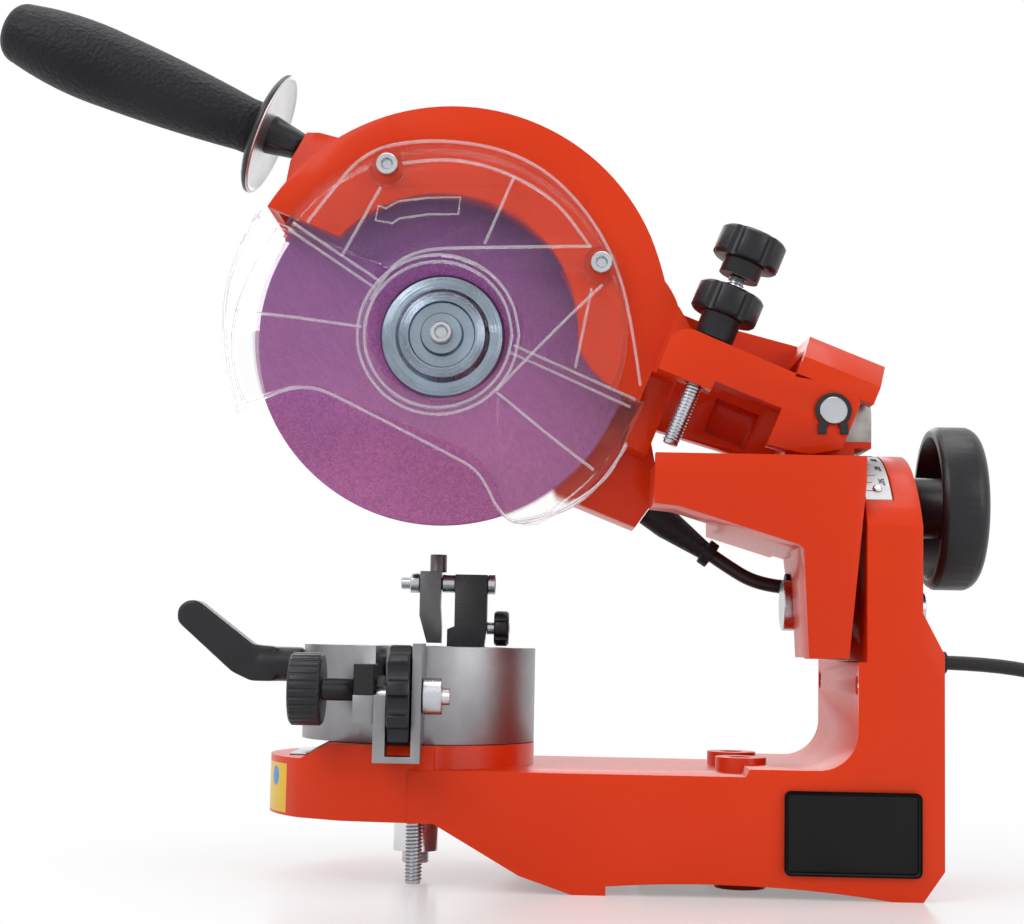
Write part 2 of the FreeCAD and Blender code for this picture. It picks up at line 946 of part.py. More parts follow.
def make_base():
    s = size
    body = new_body("Base")
    pad(body, "XZ", -half_base, half_base, base_side())
    pad(body, "XY", s.nose_underside, s.platform_top, nose_plan())
    pad(body, "XY", s.nose_underside, s.platform_top, Ring(vise_x, 0, s.platform_radius))
    over = s.cut_overrun
    bevel = [
        (vise_x - s.nose_front - over, s.nose_top),
        (vise_x - s.nose_corner_reach, s.nose_top),
        (vise_x - s.bevel_reach, s.platform_top + over / 2),
        (vise_x - s.nose_front - over, s.platform_top + over / 2),
    ]
    pocket(body, "XZ", -half_base - over, half_base + over, bevel)
    post_top = s.tilt_height + s.crown_radius + over
    pocket(body, "YZ", s.post_face - over, s.post_back_high + over, crown_cut(-1))
    pocket(body, "YZ", s.post_face - over, s.post_back_high + over, crown_cut(1))
    # The recess that the scale strip lies in runs over the crown at the bracket's side.
    step = s.crown_radius - s.scale_step
    strip = [
        (-(step * sine(s.scale_near_angle)), s.tilt_height + step * cosine(s.scale_near_angle)),
        Bend(-(step * sine(s.scale_near_angle / 2)),
             s.tilt_height + step * cosine(s.scale_near_angle / 2)),
        (zero, s.tilt_height + step),
        Bend(step * sine(s.scale_far_angle / 2),
             s.tilt_height + step * cosine(s.scale_far_angle / 2)),
        (step * sine(s.scale_far_angle), s.tilt_height + step * cosine(s.scale_far_angle)),
        (step * sine(s.scale_far_angle), post_top),
        (-(step * sine(s.scale_near_angle)), post_top),
    ]
    pocket(body, "YZ", s.post_pad_face - over, s.post_pad_face + s.scale_width, strip)
    slot = crown_slot(s.slot_near_angle, s.slot_far_angle, s.lock_radius,
                      s.lock_bolt_radius + s.lock_slot_clearance)
    pocket(body, "YZ", s.post_pad_face - over, s.post_back_low + over, slot)
    pocket(body, "YZ", s.post_pad_face - over, s.post_back_low + over,
           Ring(0, s.tilt_height, s.pivot_radius + s.shaft_clearance))
    pocket(body, "YZ", s.post_back_high, s.post_back_low + over,
           Ring(0, s.tilt_height, s.pivot_head_radius + s.pivot_washer_thickness * 1.5))
    hollow_half = half_base - s.casting_wall
    hollow = [
        (-s.under_pocket_reach, -hollow_half),
        (s.under_pocket_reach, -hollow_half),
        (s.under_pocket_reach, hollow_half),
        (-s.under_pocket_reach, hollow_half),
    ]
    bolt_y = s.bench_bolt_spacing / 2
    pocket(body, "XY", -over, s.under_pocket_height, hollow,
           Ring(0, -bolt_y, s.bench_boss_radius), Ring(0, bolt_y, s.bench_boss_radius))
    pad(body, "XY", 0, s.bench_boss_top,
        Ring(0, -bolt_y, s.bench_boss_radius), Ring(0, bolt_y, s.bench_boss_radius))
    pocket(body, "XY", -over, s.bench_boss_top + over,
           Ring(0, -bolt_y, s.bench_hole_radius), Ring(0, bolt_y, s.bench_hole_radius))
    pocket(body, "XY", 0, s.platform_top + over,
           Ring(vise_x, 0, s.turntable_bolt_radius + s.shaft_clearance))
    pocket(body, "XY", 0, s.platform_top + over,
           turntable_slot(s.lock_stud_side, s.lock_stud_radius + s.lock_slot_clearance,
                          -90, s.turntable_range + 5))
    for side in (-1, 1):
        pocket(body, "YZ", s.post_face - over, s.post_face + s.post_screw_depth,
               Ring(side * s.post_screw_spread, s.post_screw_height, s.post_screw_radius))
    level = s.switch_level
    half_wide = s.switch_width / 2
    half_high = s.switch_height / 2
    bay = [
        (s.switch_reach - half_wide, level - half_high),
        (s.switch_reach + half_wide, level - half_high),
        (s.switch_reach + half_wide, level + half_high),
        (s.switch_reach - half_wide, level + half_high),
    ]
    pocket(body, "XZ", half_base - s.switch_depth, half_base + over, bay)
    pocket(body, "YZ", s.post_back_low - s.gland_insert, s.post_back_low + over,
           Ring(s.cord_side, s.cord_height, s.gland_radius - 2 * s.seat_gap))
    return node("base_casting", body)


def make_post_trim():
    s = size
    sleeve = s.crown_radius - s.scale_step
    outer = sleeve + s.scale_thickness
    strip = new_body("Strip")

    def spot(angle, reach):
        return -(reach * sine(angle)), s.tilt_height + reach * cosine(angle)

    near = s.scale_near_angle - s.seat_gap * 4
    far = s.scale_far_angle - s.seat_gap
    middle = (near - far) / 2
    pad(strip, "YZ", s.post_pad_face + s.seat_gap, s.post_pad_face + s.scale_width - s.seat_gap, [
        spot(near, sleeve),
        Bend(*spot(middle, sleeve)),
        spot(-far, sleeve),
        spot(-far, outer),
        Bend(*spot(middle, outer)),
        spot(near, outer),
    ])
    node("tilt_scale", strip)
    rivets = []
    for angle in (near - s.rivet_inset_angle, -far + s.rivet_inset_angle):
        rivet = turned("Rivet", [
            (zero, zero),
            (s.rivet_radius, zero),
            Bend(s.rivet_radius * RIVET_SHOULDER, s.rivet_height * RIVET_SHOULDER_RISE),
            (s.rivet_radius * RIVET_FLAT, s.rivet_height),
            (zero, s.rivet_height),
        ])
        y, z = spot(angle, outer)
        turn = FreeCAD.Rotation(Vector(1, 0, 0), angle.value)
        rivet.Placement = FreeCAD.Placement(Vector(0, 0, 0), turn)
        move(rivet, s.post_pad_face + s.scale_width / 2, y, z)
        rivets.append(rivet)
    node("tilt_scale_rivets", grouped("Rivets", *rivets))
    screws = []
    for side in (-1, 1):
        screw = turned("PostScrew", [
            (zero, zero),
            (s.post_screw_radius - s.seat_gap / 3, zero),
            (s.post_screw_radius - s.seat_gap / 3, s.post_screw_depth - s.post_screw_sink),
            (s.post_screw_radius / 2, s.post_screw_depth - s.post_screw_sink),
            (s.post_screw_radius / 2, s.post_screw_depth / 2),
            (zero, s.post_screw_depth / 2),
        ])
        stand(screw, s.post_face + s.post_screw_depth, side * s.post_screw_spread,
              s.post_screw_height, "-X")
        screws.append(screw)
    node("post_screws", grouped("PostScrews", *screws))
    # The angle plate of the vise lies on the slanted top of the nose.
    run = s.nose_corner_reach - s.bevel_reach
    plate = new_body("VisePlate")
    rise = s.platform_top + s.cut_overrun / 2 - s.nose_top
    lift = s.vise_scale_thickness
    pad(plate, "XZ", -s.nose_corner_width / 2, s.nose_corner_width / 2, [
        (vise_x - s.nose_corner_reach - run / 2, s.nose_top),
        (vise_x - s.nose_corner_reach, s.nose_top),
        (vise_x - s.bevel_reach - run / 4, s.nose_top + rise * BEVEL_LEVEL),
        (vise_x - s.bevel_reach - run / 4 - lift / 2, s.nose_top + rise * BEVEL_LEVEL + lift),
        (vise_x - s.nose_corner_reach - lift / 2, s.nose_top + lift),
        (vise_x - s.nose_corner_reach - run / 2, s.nose_top + lift),
    ])
    node("vise_scale", plate)


def make_switch():
    s = size
    level = s.switch_level
    gap = s.seat_gap
    half_wide = s.switch_width / 2
    half_high = s.switch_height / 2

    def frame(inset):
        return [
            (s.switch_reach - half_wide + inset, level - half_high + inset),
            (s.switch_reach + half_wide - inset, level - half_high + inset),
            (s.switch_reach + half_wide - inset, level + half_high - inset),
            (s.switch_reach - half_wide + inset, level + half_high - inset),
        ]

    pin_y = half_base - s.rocker_pin_depth
    inset = s.switch_rim + s.rocker_gap
    left = s.switch_reach - half_wide + inset
    right = s.switch_reach + half_wide - inset
    reach = s.rocker_gap + s.rocker_pin_insert
    cup = new_body("SwitchCup")
    pad(cup, "XZ", half_base - s.switch_depth, half_base + s.switch_proud, frame(gap / 3))
    pocket(cup, "XZ", half_base - s.switch_depth + s.switch_rim,
           half_base + s.switch_proud + s.cut_overrun, frame(s.switch_rim))
    pocket(cup, "YZ", left - reach - s.rocker_gap, right + reach + s.rocker_gap,
           Ring(pin_y, level, s.rocker_pin_radius + s.shaft_clearance))
    node("switch_housing", cup)
    rocker = new_body("Rocker")
    end = half_high - s.switch_rim - s.rocker_end_gap
    deep = half_base - s.switch_depth / 3
    # In side view the rocker has a shallow V face that tips about its middle.
    pad(rocker, "YZ", left, right, [
        (deep, level - end / 2),
        (half_base + s.rocker_gap, level - end),
        (half_base + s.switch_proud + gap, level),
        (half_base + s.switch_proud + s.rocker_proud, level + end),
        (deep, level + end / 2),
    ])
    pad(rocker, "YZ", left - reach, right + reach, Ring(pin_y, level, s.rocker_pin_radius))
    node("switch_rocker", rocker)


# Tilting bracket.

def make_bracket():
    s = size
    gap = s.seat_gap
    over = s.cut_overrun
    face = s.post_pad_face - gap
    foot = s.tilt_height - s.bracket_foot_radius
    body = new_body("Bracket")
    pad(body, "XZ", -half_base, half_base, [
        (-s.bracket_left, s.bracket_top),
        (-s.bracket_left - gap, s.bracket_left_height),
        (-s.bracket_knee_reach, s.bracket_knee_height),
        (s.bracket_leg_reach, s.bracket_leg_height),
        (s.bracket_leg_bottom_reach, foot),
        (face, foot),
        (face, s.bracket_top),
    ])
    for side in (-1, 1):
        # The leg narrows in a flare to a round foot about the tilt axis.
        out = side * (half_base + over)
        pocket(body, "YZ", s.bracket_leg_reach - over * 2, face + over, [
            (zero, foot - over),
            (zero, foot),
            Bend(side * s.bracket_foot_radius * EIGHTH_TURN,
                 s.tilt_height - s.bracket_foot_radius * EIGHTH_TURN),
            (side * s.bracket_foot_radius, s.tilt_height),
            (side * s.flare_width, s.flare_height),
            (side * s.flare_neck_width, s.flare_neck_height),
            (side * half_base, s.flare_top_height),
            (out, s.flare_top_height),
            (out, foot - over),
        ])
    inner = half_base - s.bracket_wall
    channel_end = face - s.bracket_end_wall
    pocket(body, "XZ", -inner, inner, [
        (-s.bracket_left - over * 2, s.bracket_top + over),
        (channel_end, s.bracket_top + over),
        (channel_end, s.channel_floor_low),
        (-s.channel_knee_reach, s.channel_floor),
        (-s.bracket_left + s.bracket_wall, s.channel_floor),
        (-s.bracket_left + s.bracket_wall, s.bracket_top - over * 2),
        (-s.bracket_left - over * 2, s.bracket_top - over * 2),
    ])
    # Only the near half reaches forward as a beak under the depth stop.
    pocket(body, "XY", foot, s.bracket_top + over, [
        (-s.bracket_left - over * 2, -s.beak_inner),
        (-s.beak_run, -s.beak_inner),
        (-s.beak_run, half_base + over),
        (-s.bracket_left - over * 2, half_base + over),
    ])
    pad(body, "XY", s.channel_floor - over, s.landing_height,
        Ring(-s.landing_reach, -s.stop_rod_side, s.landing_radius))
    # The bare hinge boss stands in the channel, and its lip reaches over the crown.
    left = s.hinge_reach - s.boss_radius
    right = s.hinge_reach + s.boss_radius
    pad(body, "XZ", -s.boss_near, s.boss_far, [
        (left, s.boss_root),
        (face, s.boss_root),
        (face, s.boss_lip_height),
        (right, s.boss_lip_height),
        (right, s.hinge_height),
        Bend(s.hinge_reach, s.hinge_height + s.boss_radius),
        (left, s.hinge_height),
    ])
    pocket(body, "XZ", -s.boss_near - over, s.boss_far + over,
           Ring(s.hinge_reach, s.hinge_height, s.hinge_pin_radius + s.shaft_clearance))
    pocket(body, "YZ", s.bracket_leg_reach - over, face + over,
           Ring(0, s.tilt_height, s.pivot_radius + s.shaft_clearance),
           Ring(0, s.tilt_height + s.lock_radius, s.lock_bolt_radius + s.shaft_clearance))
    pocket(body, "YZ", s.bracket_leg_reach - over, s.bracket_leg_reach + s.grommet_insert,
           Ring(s.lead_entry_side, s.lead_entry_height, s.grommet_radius - 2 * gap))
    return node("tilt_bracket", body)


def leg_face(height):
    """How far right the leg's slanted left face lies at a height."""
    s = size
    run = s.bracket_leg_bottom_reach - s.bracket_leg_reach
    fall = s.bracket_leg_height - s.tilt_height + s.bracket_foot_radius
    return s.bracket_leg_reach + run * (s.bracket_leg_height - height) / fall


def make_tilt_hardware():
    s = size
    gap = s.seat_gap
    face = s.post_pad_face - gap
    clearance = s.shaft_clearance
    start = leg_face(s.tilt_height + s.pivot_head_radius) - gap / 3
    nut_seat = s.post_back_high + gap
    length = nut_seat + s.pivot_washer_thickness + s.pivot_nut_thickness - start
    pin = turned("PivotBolt", [
        (zero, -s.pivot_nut_thickness),
        (s.pivot_head_radius, -s.pivot_nut_thickness),
        (s.pivot_head_radius, -gap),
        (s.pivot_radius, -gap),
        (s.pivot_radius, length + s.cut_overrun),
        (zero, length + s.cut_overrun),
    ])
    stand(pin, start, 0, s.tilt_height, "X")
    node("tilt_pivot_bolt", pin)
    nut = new_body("PivotNut")
    pad(nut, "XY", s.pivot_washer_thickness, s.pivot_washer_thickness + s.pivot_nut_thickness,
        hexagon(zero, zero, s.pivot_head_radius), Ring(0, 0, s.pivot_radius + clearance))
    pad(nut, "XY", 0, s.pivot_washer_thickness,
        Ring(0, 0, s.pivot_head_radius + s.pivot_washer_thickness),
        Ring(0, 0, s.pivot_radius + clearance))
    stand(nut, s.post_back_high + gap, 0, s.tilt_height, "X")
    node("tilt_pivot_nut", nut)
    bolt_start = face - s.bracket_end_wall - gap
    lock_length = s.big_knob_rim_face + s.big_knob_depth - bolt_start
    bolt = turned("LockBolt", [
        (zero, -s.pivot_nut_thickness / 2),
        (s.pivot_head_radius * LOCK_HEAD_SHARE, -s.pivot_nut_thickness / 2),
        (s.pivot_head_radius * LOCK_HEAD_SHARE, -gap / 3),
        (s.lock_bolt_radius, -gap / 3),
        (s.lock_bolt_radius, lock_length),
        (zero, lock_length),
    ])
    stand(bolt, bolt_start, 0, s.tilt_height + s.lock_radius, "X")
    node("tilt_lock_bolt", bolt)
    hub_start = s.post_back_high + gap - s.big_knob_rim_face
    knob = turned("BigKnob", [
        (s.lock_bolt_radius + clearance, hub_start),
        (s.big_knob_hub_radius, hub_start),
        (s.big_knob_hub_radius, s.big_knob_depth),
        (s.big_knob_radius - s.big_knob_wall, s.big_knob_depth),
        (s.big_knob_radius - s.big_knob_wall, zero),
        (s.big_knob_radius - s.big_knob_wall / 3, zero),
        (s.big_knob_radius, s.big_knob_wall / 2),
        (s.big_knob_radius, s.big_knob_thickness - s.big_knob_dome),
        Bend(s.big_knob_radius * KNOB_CROWN, s.big_knob_thickness - s.big_knob_dome * KNOB_CROWN_RISE),
        (s.big_knob_radius * KNOB_FLAT, s.big_knob_thickness),
        (zero, s.big_knob_thickness + s.big_knob_dome * KNOB_DOME_RISE),
        (zero, s.big_knob_depth + s.big_knob_wall / 2),
        (s.lock_bolt_radius + clearance, s.big_knob_depth + s.big_knob_wall / 2),
    ])
    stand(knob, s.big_knob_rim_face, 0, s.tilt_height + s.lock_radius, "X")
    node("tilt_knob", knob)
    grommet = turned("Grommet", [
        (s.lead_radius + gap / 3, -s.grommet_thickness),
        (s.grommet_radius, -s.grommet_thickness),
        (s.grommet_radius, -gap / 3),
        (s.grommet_radius - 3 * gap, -gap / 3),
        (s.grommet_radius - 3 * gap, s.grommet_insert - s.grommet_thickness),
        (s.lead_radius + gap / 3, s.grommet_insert - s.grommet_thickness),
    ])
    entry = leg_face(s.lead_entry_height + s.grommet_radius)
    stand(grommet, entry, s.lead_entry_side, s.lead_entry_height, "X")
    node("lead_grommet", grommet)
    return entry


# Head casting, drawn level with the hinge at the origin and then raised.

hub_x = -size.spindle_reach
hub_z = -size.spindle_drop


def near_ear():
    s = size
    lean = s.ear_radius * EIGHTH_TURN
    return [
        (-s.ear_tail, s.bar_top - s.seat_gap * 4),
        (-lean, lean),
        Bend(s.ear_radius * EAR_TOP_REACH, s.ear_radius * EAR_TOP_RISE),
        (s.ear_front, s.ear_radius * HALF),
        (s.ear_front, -s.ear_front_drop),
        (-s.ear_radius * EAR_HEEL_REACH, -s.ear_drop * EAR_HEEL_DROP),
        (-s.ear_radius * HALF, -s.ear_drop * EAR_TOE_DROP),
        (-s.ear_tail, -s.ear_drop),
    ]


def make_head():
    s = size
    over = s.cut_overrun
    centre_x = hub_x + s.shroud_offset_out
    centre_z = hub_z + s.shroud_offset_up
    outer = s.shroud_radius
    inner = s.shroud_radius - s.shroud_wall
    # Where the round shroud meets its level left end.
    left_x = centre_x - root(outer * outer - (s.shroud_left_end + centre_z) * (s.shroud_left_end + centre_z))
    body = new_body("Head")
    flat_bottom = -s.root_bottom
    disc = s.back_disc_radius
    pad(body, "XZ", -s.shroud_near, s.shroud_far, [
        (left_x, -s.shroud_left_end),
        Bend(centre_x - outer * HALF, centre_z + outer * SIXTH_TURN_RISE),
        (centre_x + outer * EIGHTH_TURN, centre_z + outer * EIGHTH_TURN),
        Bend(centre_x + outer * FOUR_FIFTHS, centre_z + outer * THREE_FIFTHS),
        (-s.fillet_reach - s.ear_radius * HALF, s.root_top + s.ear_radius * THREE_FIFTHS),
        Bend(-s.fillet_reach + s.ear_radius * FILLET_REACH, s.root_top + s.ear_radius * FILLET_RISE),
        (-s.shroud_flat, s.root_top),
        (-s.shroud_flat, flat_bottom),
        (hub_x + disc, flat_bottom),
        Bend(hub_x, hub_z - disc),
        (hub_x - disc, -s.shroud_left_end - disc * DISC_SHOULDER),
        (hub_x - disc * BEYOND_RIM, -s.shroud_left_end),
    ])
    cavity = Ring(centre_x, centre_z, inner)
    below = [
        (centre_x - outer - over, -s.shroud_left_end + over),
        (centre_x - outer - over, hub_z - outer),
        (-s.shroud_flat + over, hub_z - outer),
        (-s.shroud_flat + over, -s.guard_split_right),
        (hub_x + disc, -s.guard_split_right),
        (hub_x + disc, -s.shroud_left_end + over),
    ]
    back = s.shroud_far - s.shroud_wall
    front = -s.shroud_near + s.shroud_wall
    pocket(body, "XZ", front, back, cavity)
    pocket(body, "XZ", -s.shroud_near - over, back, below)
    # The front plate keeps a crescent between the shroud's rim and this lip.
    lip = s.lip_radius
    pocket(body, "XZ", -s.shroud_near - over, front + over, [
        (hub_x - lip * BEYOND_RIM, -s.shroud_left_end - over * 2),
        (hub_x - lip * LIP_LEFT_REACH, hub_z + lip * LIP_LEFT_RISE),
        Bend(hub_x, hub_z + lip),
        (hub_x + lip * LIP_RIGHT_REACH, hub_z + lip * LIP_RIGHT_RISE),
        Bend(hub_x + lip * LIP_CURL_REACH, hub_z + lip * LIP_CURL_RISE),
        (-s.shroud_flat - s.shroud_wall, -s.guard_split_right + over / 2),
        (-s.shroud_flat - s.shroud_wall, -s.guard_split_right - over * 2),
    ])
    # Arm root, far bar with its window, near bar with the lug, and both hinge ears.
    pad(body, "XZ", -s.root_near, s.far_bar_outer, [
        (-s.root_left, s.root_top - s.ear_radius),
        (-s.shroud_flat, s.root_top),
        (-s.root_right, s.root_top),
        (-s.root_right, flat_bottom),
        (-s.shroud_flat + s.seat_gap, flat_bottom),
        (-s.shroud_flat + s.seat_gap, -s.terminal_top),
        (-s.shroud_flat - s.shroud_wall + s.seat_gap, -s.terminal_top),
        (-s.shroud_flat - s.shroud_wall + s.seat_gap, s.root_top - s.ear_radius * 2),
    ])
    far_inner = s.far_bar_outer - s.far_bar_thickness
    pad(body, "XZ", far_inner, s.far_bar_outer, [
        (-s.shroud_flat, s.root_top),
        (-s.root_right, s.far_bar_top),
        (-s.hood_start, s.hood_top),
        (s.hood_end, s.hood_top),
        (s.hood_end, s.hood_under),
        (-s.ear_radius * HALF, s.hood_under),
        (-s.ear_tail, s.bar_top),
        (-s.ear_tail, -s.ear_drop),
        (-s.root_right, -s.far_bar_bottom),
        (-s.shroud_flat, -s.far_bar_bottom),
    ])
    pocket(body, "XZ", far_inner - over, s.far_bar_outer + over, [
        (-s.window_left, -s.window_top),
        (-s.window_left, -s.window_bottom),
        (-s.window_right, -s.window_bottom),
        (-s.window_right, -s.window_top),
    ])
    lug_inner = -s.ear_outer + s.near_bar_thickness
    pad(body, "XZ", -s.ear_outer, lug_inner, [
        (-s.lug_end, -s.lug_bottom),
        (-s.lug_end, s.bar_top / 3),
        Bend(-s.lug_end + s.lug_top * LUG_CORNER_REACH, s.lug_top * LUG_CORNER_RISE),
        (-s.lug_end + s.lug_top, s.lug_top),
        (-s.ear_tail, s.bar_top),
        (-s.ear_tail, -s.bar_bottom),
        (-s.lug_end + s.lug_run, -s.bar_bottom),
        (-s.lug_end + s.lug_run, -s.lug_bottom),
    ])
    pad(body, "XZ", lug_inner - over, s.root_near, [
        (-s.shroud_flat, -s.lug_bottom),
        (-s.shroud_flat, s.root_top),
        (-s.root_right, s.lug_top),
        (-s.root_right, -s.lug_bottom),
    ])
    pad(body, "XZ", -s.ear_outer, -s.ear_outer + s.ear_thickness, near_ear())
    pad(body, "XZ", s.ear_outer - s.ear_thickness, s.ear_outer, near_ear())
    # The hood bridges the ears above the boss and slopes up to the far bar.
    pad(body, "YZ", -s.hood_start, s.hood_end, [
        (-s.ear_outer, s.bar_top + s.seat_gap),
        (-s.ear_outer + s.ear_thickness, s.bar_top + s.seat_gap),
        (-s.ear_outer + s.ear_thickness, s.hood_under),
        (s.ear_outer - s.ear_thickness, s.hood_under),
        (s.ear_outer, s.hood_under),
        (s.ear_outer, s.hood_top),
        (-s.ear_outer + s.hood_slope, s.hood_top - s.ear_radius * HOOD_TOP_ROUND),
        (-s.ear_outer, s.hood_under - s.ear_radius * HOOD_SIDE_ROUND),
    ])
    pocket(body, "XZ", -s.ear_outer - over, s.ear_outer + over,
           Ring(0, 0, s.hinge_pin_radius + s.shaft_clearance / 5))
    pocket(body, "XY", -s.lug_bottom - over, s.lug_top + over,
           Ring(-s.stop_rod_reach, -s.stop_rod_side, s.stop_rod_radius + s.thread_clearance))
    # Motor seat, terminal box under it, handle boss and guard posts.
    face_lean = sine(s.relief_angle) / cosine(s.relief_angle)
    pad(body, "XZ", back, s.shroud_far, Ring(hub_x, hub_z, s.motor_radius))
    pad(body, "XZ", s.terminal_near, s.terminal_far, [
        (-s.terminal_left, -s.terminal_top - s.motor_radius / 2),
        (-s.shroud_flat - s.shroud_wall, -s.terminal_top),
        (-s.root_right, -s.terminal_top),
        (-s.terminal_right + face_lean * s.relief_root_radius * RELIEF_SEAT,
         -s.relief_drop + s.relief_root_radius * RELIEF_SEAT),
        (-s.terminal_right - face_lean * (s.terminal_bottom - s.relief_drop),
         -s.terminal_bottom),
        (-s.terminal_left + s.ear_tail, -s.terminal_bottom),
    ])
    pocket(body, "XZ", -s.shroud_near - over, s.shroud_far + over,
           Ring(hub_x, hub_z, s.bearing_radius + s.seat_gap))
    pad(body, "XZ", -s.handle_boss_half * HANDLE_BOSS_SIDE, s.handle_boss_half * HANDLE_BOSS_SIDE, [
        (-s.handle_boss_end, s.handle_drop - s.handle_boss_half * HANDLE_BOSS_FOOT),
        (-s.handle_boss_end + s.shroud_wall, -s.shroud_left_end + s.shroud_wall),
        (-s.handle_boss_end + s.handle_boss_run / 2, s.handle_drop - s.handle_boss_half * 2),
        (-s.handle_boss_end + s.handle_boss_run, s.handle_drop - s.seat_gap),
        (-s.handle_boss_end + s.handle_boss_run, s.handle_drop + s.handle_boss_half * HANDLE_BOSS_SIDE),
        (-s.handle_boss_end + s.handle_boss_half, s.handle_drop + s.handle_boss_half),
        (-s.handle_boss_end + s.handle_boss_half / 4, s.handle_drop + s.handle_boss_half * HANDLE_BOSS_CORNER),
    ])
    # The boss must not reach into the wheel's space.
    pocket(body, "XZ", front, back, cavity)
    pocket(body, "YZ", -s.handle_boss_end - over, -s.handle_boss_end + s.handle_rod_insert,
           Ring(0, s.handle_drop, s.handle_rod_radius + s.shaft_clearance / 5))
    for screw_x, screw_z in guard_screw_places():
        pocket(body, "XZ", -s.shroud_near - over, front,
               Ring(screw_x, screw_z, s.guard_screw_radius + s.shaft_clearance / 5))
    stand_on_head(body, 0, 0, 0)
    return node("head_casting", body)


def guard_screw_places():
    s = size
    return [
        (-s.guard_screw_left, s.guard_screw_left_rise),
        (-s.guard_screw_right, s.guard_screw_right_rise),
    ]


def make_hinge():
    s = size
    half = s.ear_outer + s.hinge_pin_overhang
    pin = rod("HingePin", s.hinge_pin_radius, half * 2)
    stand(pin, s.hinge_reach, -half, s.hinge_height, "Y")
    node("hinge_pin", pin)
    clips = []
    for side in (-1, 1):
        clip = new_body("Circlip")
        bore = s.hinge_pin_radius + s.shaft_clearance / 5
        gape = s.hinge_pin_radius * HALF
        pad(clip, "XY", 0, s.circlip_thickness, Ring(0, 0, s.circlip_radius), Ring(0, 0, bore))
        for lug_side in (-1, 1):
            pad(clip, "XY", 0, s.circlip_thickness, [
                (lug_side * gape, -bore - s.circlip_thickness / 4),
                (lug_side * gape * CLIP_LUG_REACH, -bore + s.circlip_thickness / 3),
                (lug_side * gape * CLIP_LUG_REACH, -s.circlip_radius - s.circlip_thickness * 2),
                (lug_side * gape, -s.circlip_radius - s.circlip_thickness * 2),
            ])
        pocket(clip, "XY", -s.circlip_thickness, s.circlip_thickness * 2, [
            (-gape * CLIP_GAPE, -s.circlip_radius - s.circlip_thickness * 3),
            (gape * CLIP_GAPE, -s.circlip_radius - s.circlip_thickness * 3),
            (gape * CLIP_GAPE, -bore + s.circlip_thickness),
            (-gape * CLIP_GAPE, -bore + s.circlip_thickness),
        ])
        seat = side * (s.ear_outer + s.shaft_clearance)
        stand(clip, s.hinge_reach, seat, s.hinge_height, "Y" if side > 0 else "-Y")
        clips.append(clip)
    node("hinge_circlips", grouped("Circlips", *clips))
    # The return spring is wound on the pin between the boss and the far ear.
    start = s.boss_far + s.seat_gap
    stop = s.ear_outer - s.ear_thickness - s.seat_gap
    spring = turned("ReturnSpring", [
        (s.hinge_pin_radius + s.seat_gap, zero),
        (s.spring_radius, zero),
        (s.spring_radius, stop - start),
        (s.hinge_pin_radius + s.seat_gap, stop - start),
    ])
    stand(spring, s.hinge_reach, start, s.hinge_height, "Y")
    node("return_spring", spring)


def make_handle():
    s = size
    end = s.handle_boss_end
    disc = end + s.ferrule_run
    ferrule = turned("HandleRod", [
        (zero, -s.handle_rod_insert + s.seat_gap),
        (s.handle_rod_radius, -s.handle_rod_insert + s.seat_gap),
        (s.handle_rod_radius, s.seat_gap),
        (s.handle_rod_radius + s.shaft_clearance, s.seat_gap),
        (s.ferrule_radius, s.ferrule_run - s.shaft_clearance),
        (s.handle_rod_radius, s.ferrule_run - s.shaft_clearance),
        (s.handle_rod_radius, s.ferrule_run + s.grip_length * THREE_FIFTHS),
        (zero, s.ferrule_run + s.grip_length * THREE_FIFTHS),
    ])
    stand_on_head(ferrule, -end, 0, s.handle_drop, "-X")
    node("handle_rod", ferrule)
    bore = s.handle_rod_radius + s.shaft_clearance / 5
    shield = turned("Shield", [
        (bore, zero),
        (s.shield_radius - s.shield_rim, zero),
        (s.shield_radius - s.shield_rim / 2, -s.shield_rim / 3),
        (s.shield_radius, zero),
        (s.shield_radius, s.shield_thickness / 2),
        (s.shield_radius - s.shield_rim, s.shield_thickness),
        (bore, s.shield_thickness),
    ])
    stand_on_head(shield, -disc, 0, s.handle_drop, "-X")
    node("hand_shield", shield)
    length = s.grip_length
    start = s.shield_thickness + s.shaft_clearance
    grip = turned("Grip", [
        (bore, start),
        (s.grip_neck_radius, start),
        (s.grip_neck_radius, length * GRIP_NECK_RUN),
        Bend(s.grip_neck_radius * GRIP_SWELL, length * GRIP_SWELL_RUN),
        (s.grip_belly_radius, length * THREE_FIFTHS),
        Bend(s.grip_belly_radius * GRIP_WANE, length * FOUR_FIFTHS),
        (s.grip_belly_radius * FOUR_FIFTHS, length * GRIP_END_RUN),
        Bend(s.grip_end_radius, length * GRIP_ROUND_RUN),
        (s.grip_end_radius * GRIP_END_FLAT, length),
        (zero, length),
        (zero, s.grip_length * THREE_FIFTHS + s.seat_gap),
        (bore, s.grip_length * THREE_FIFTHS + s.seat_gap),
    ])
    stand_on_head(grip, -disc, 0, s.handle_drop, "-X")
    node("handle_grip", grip)


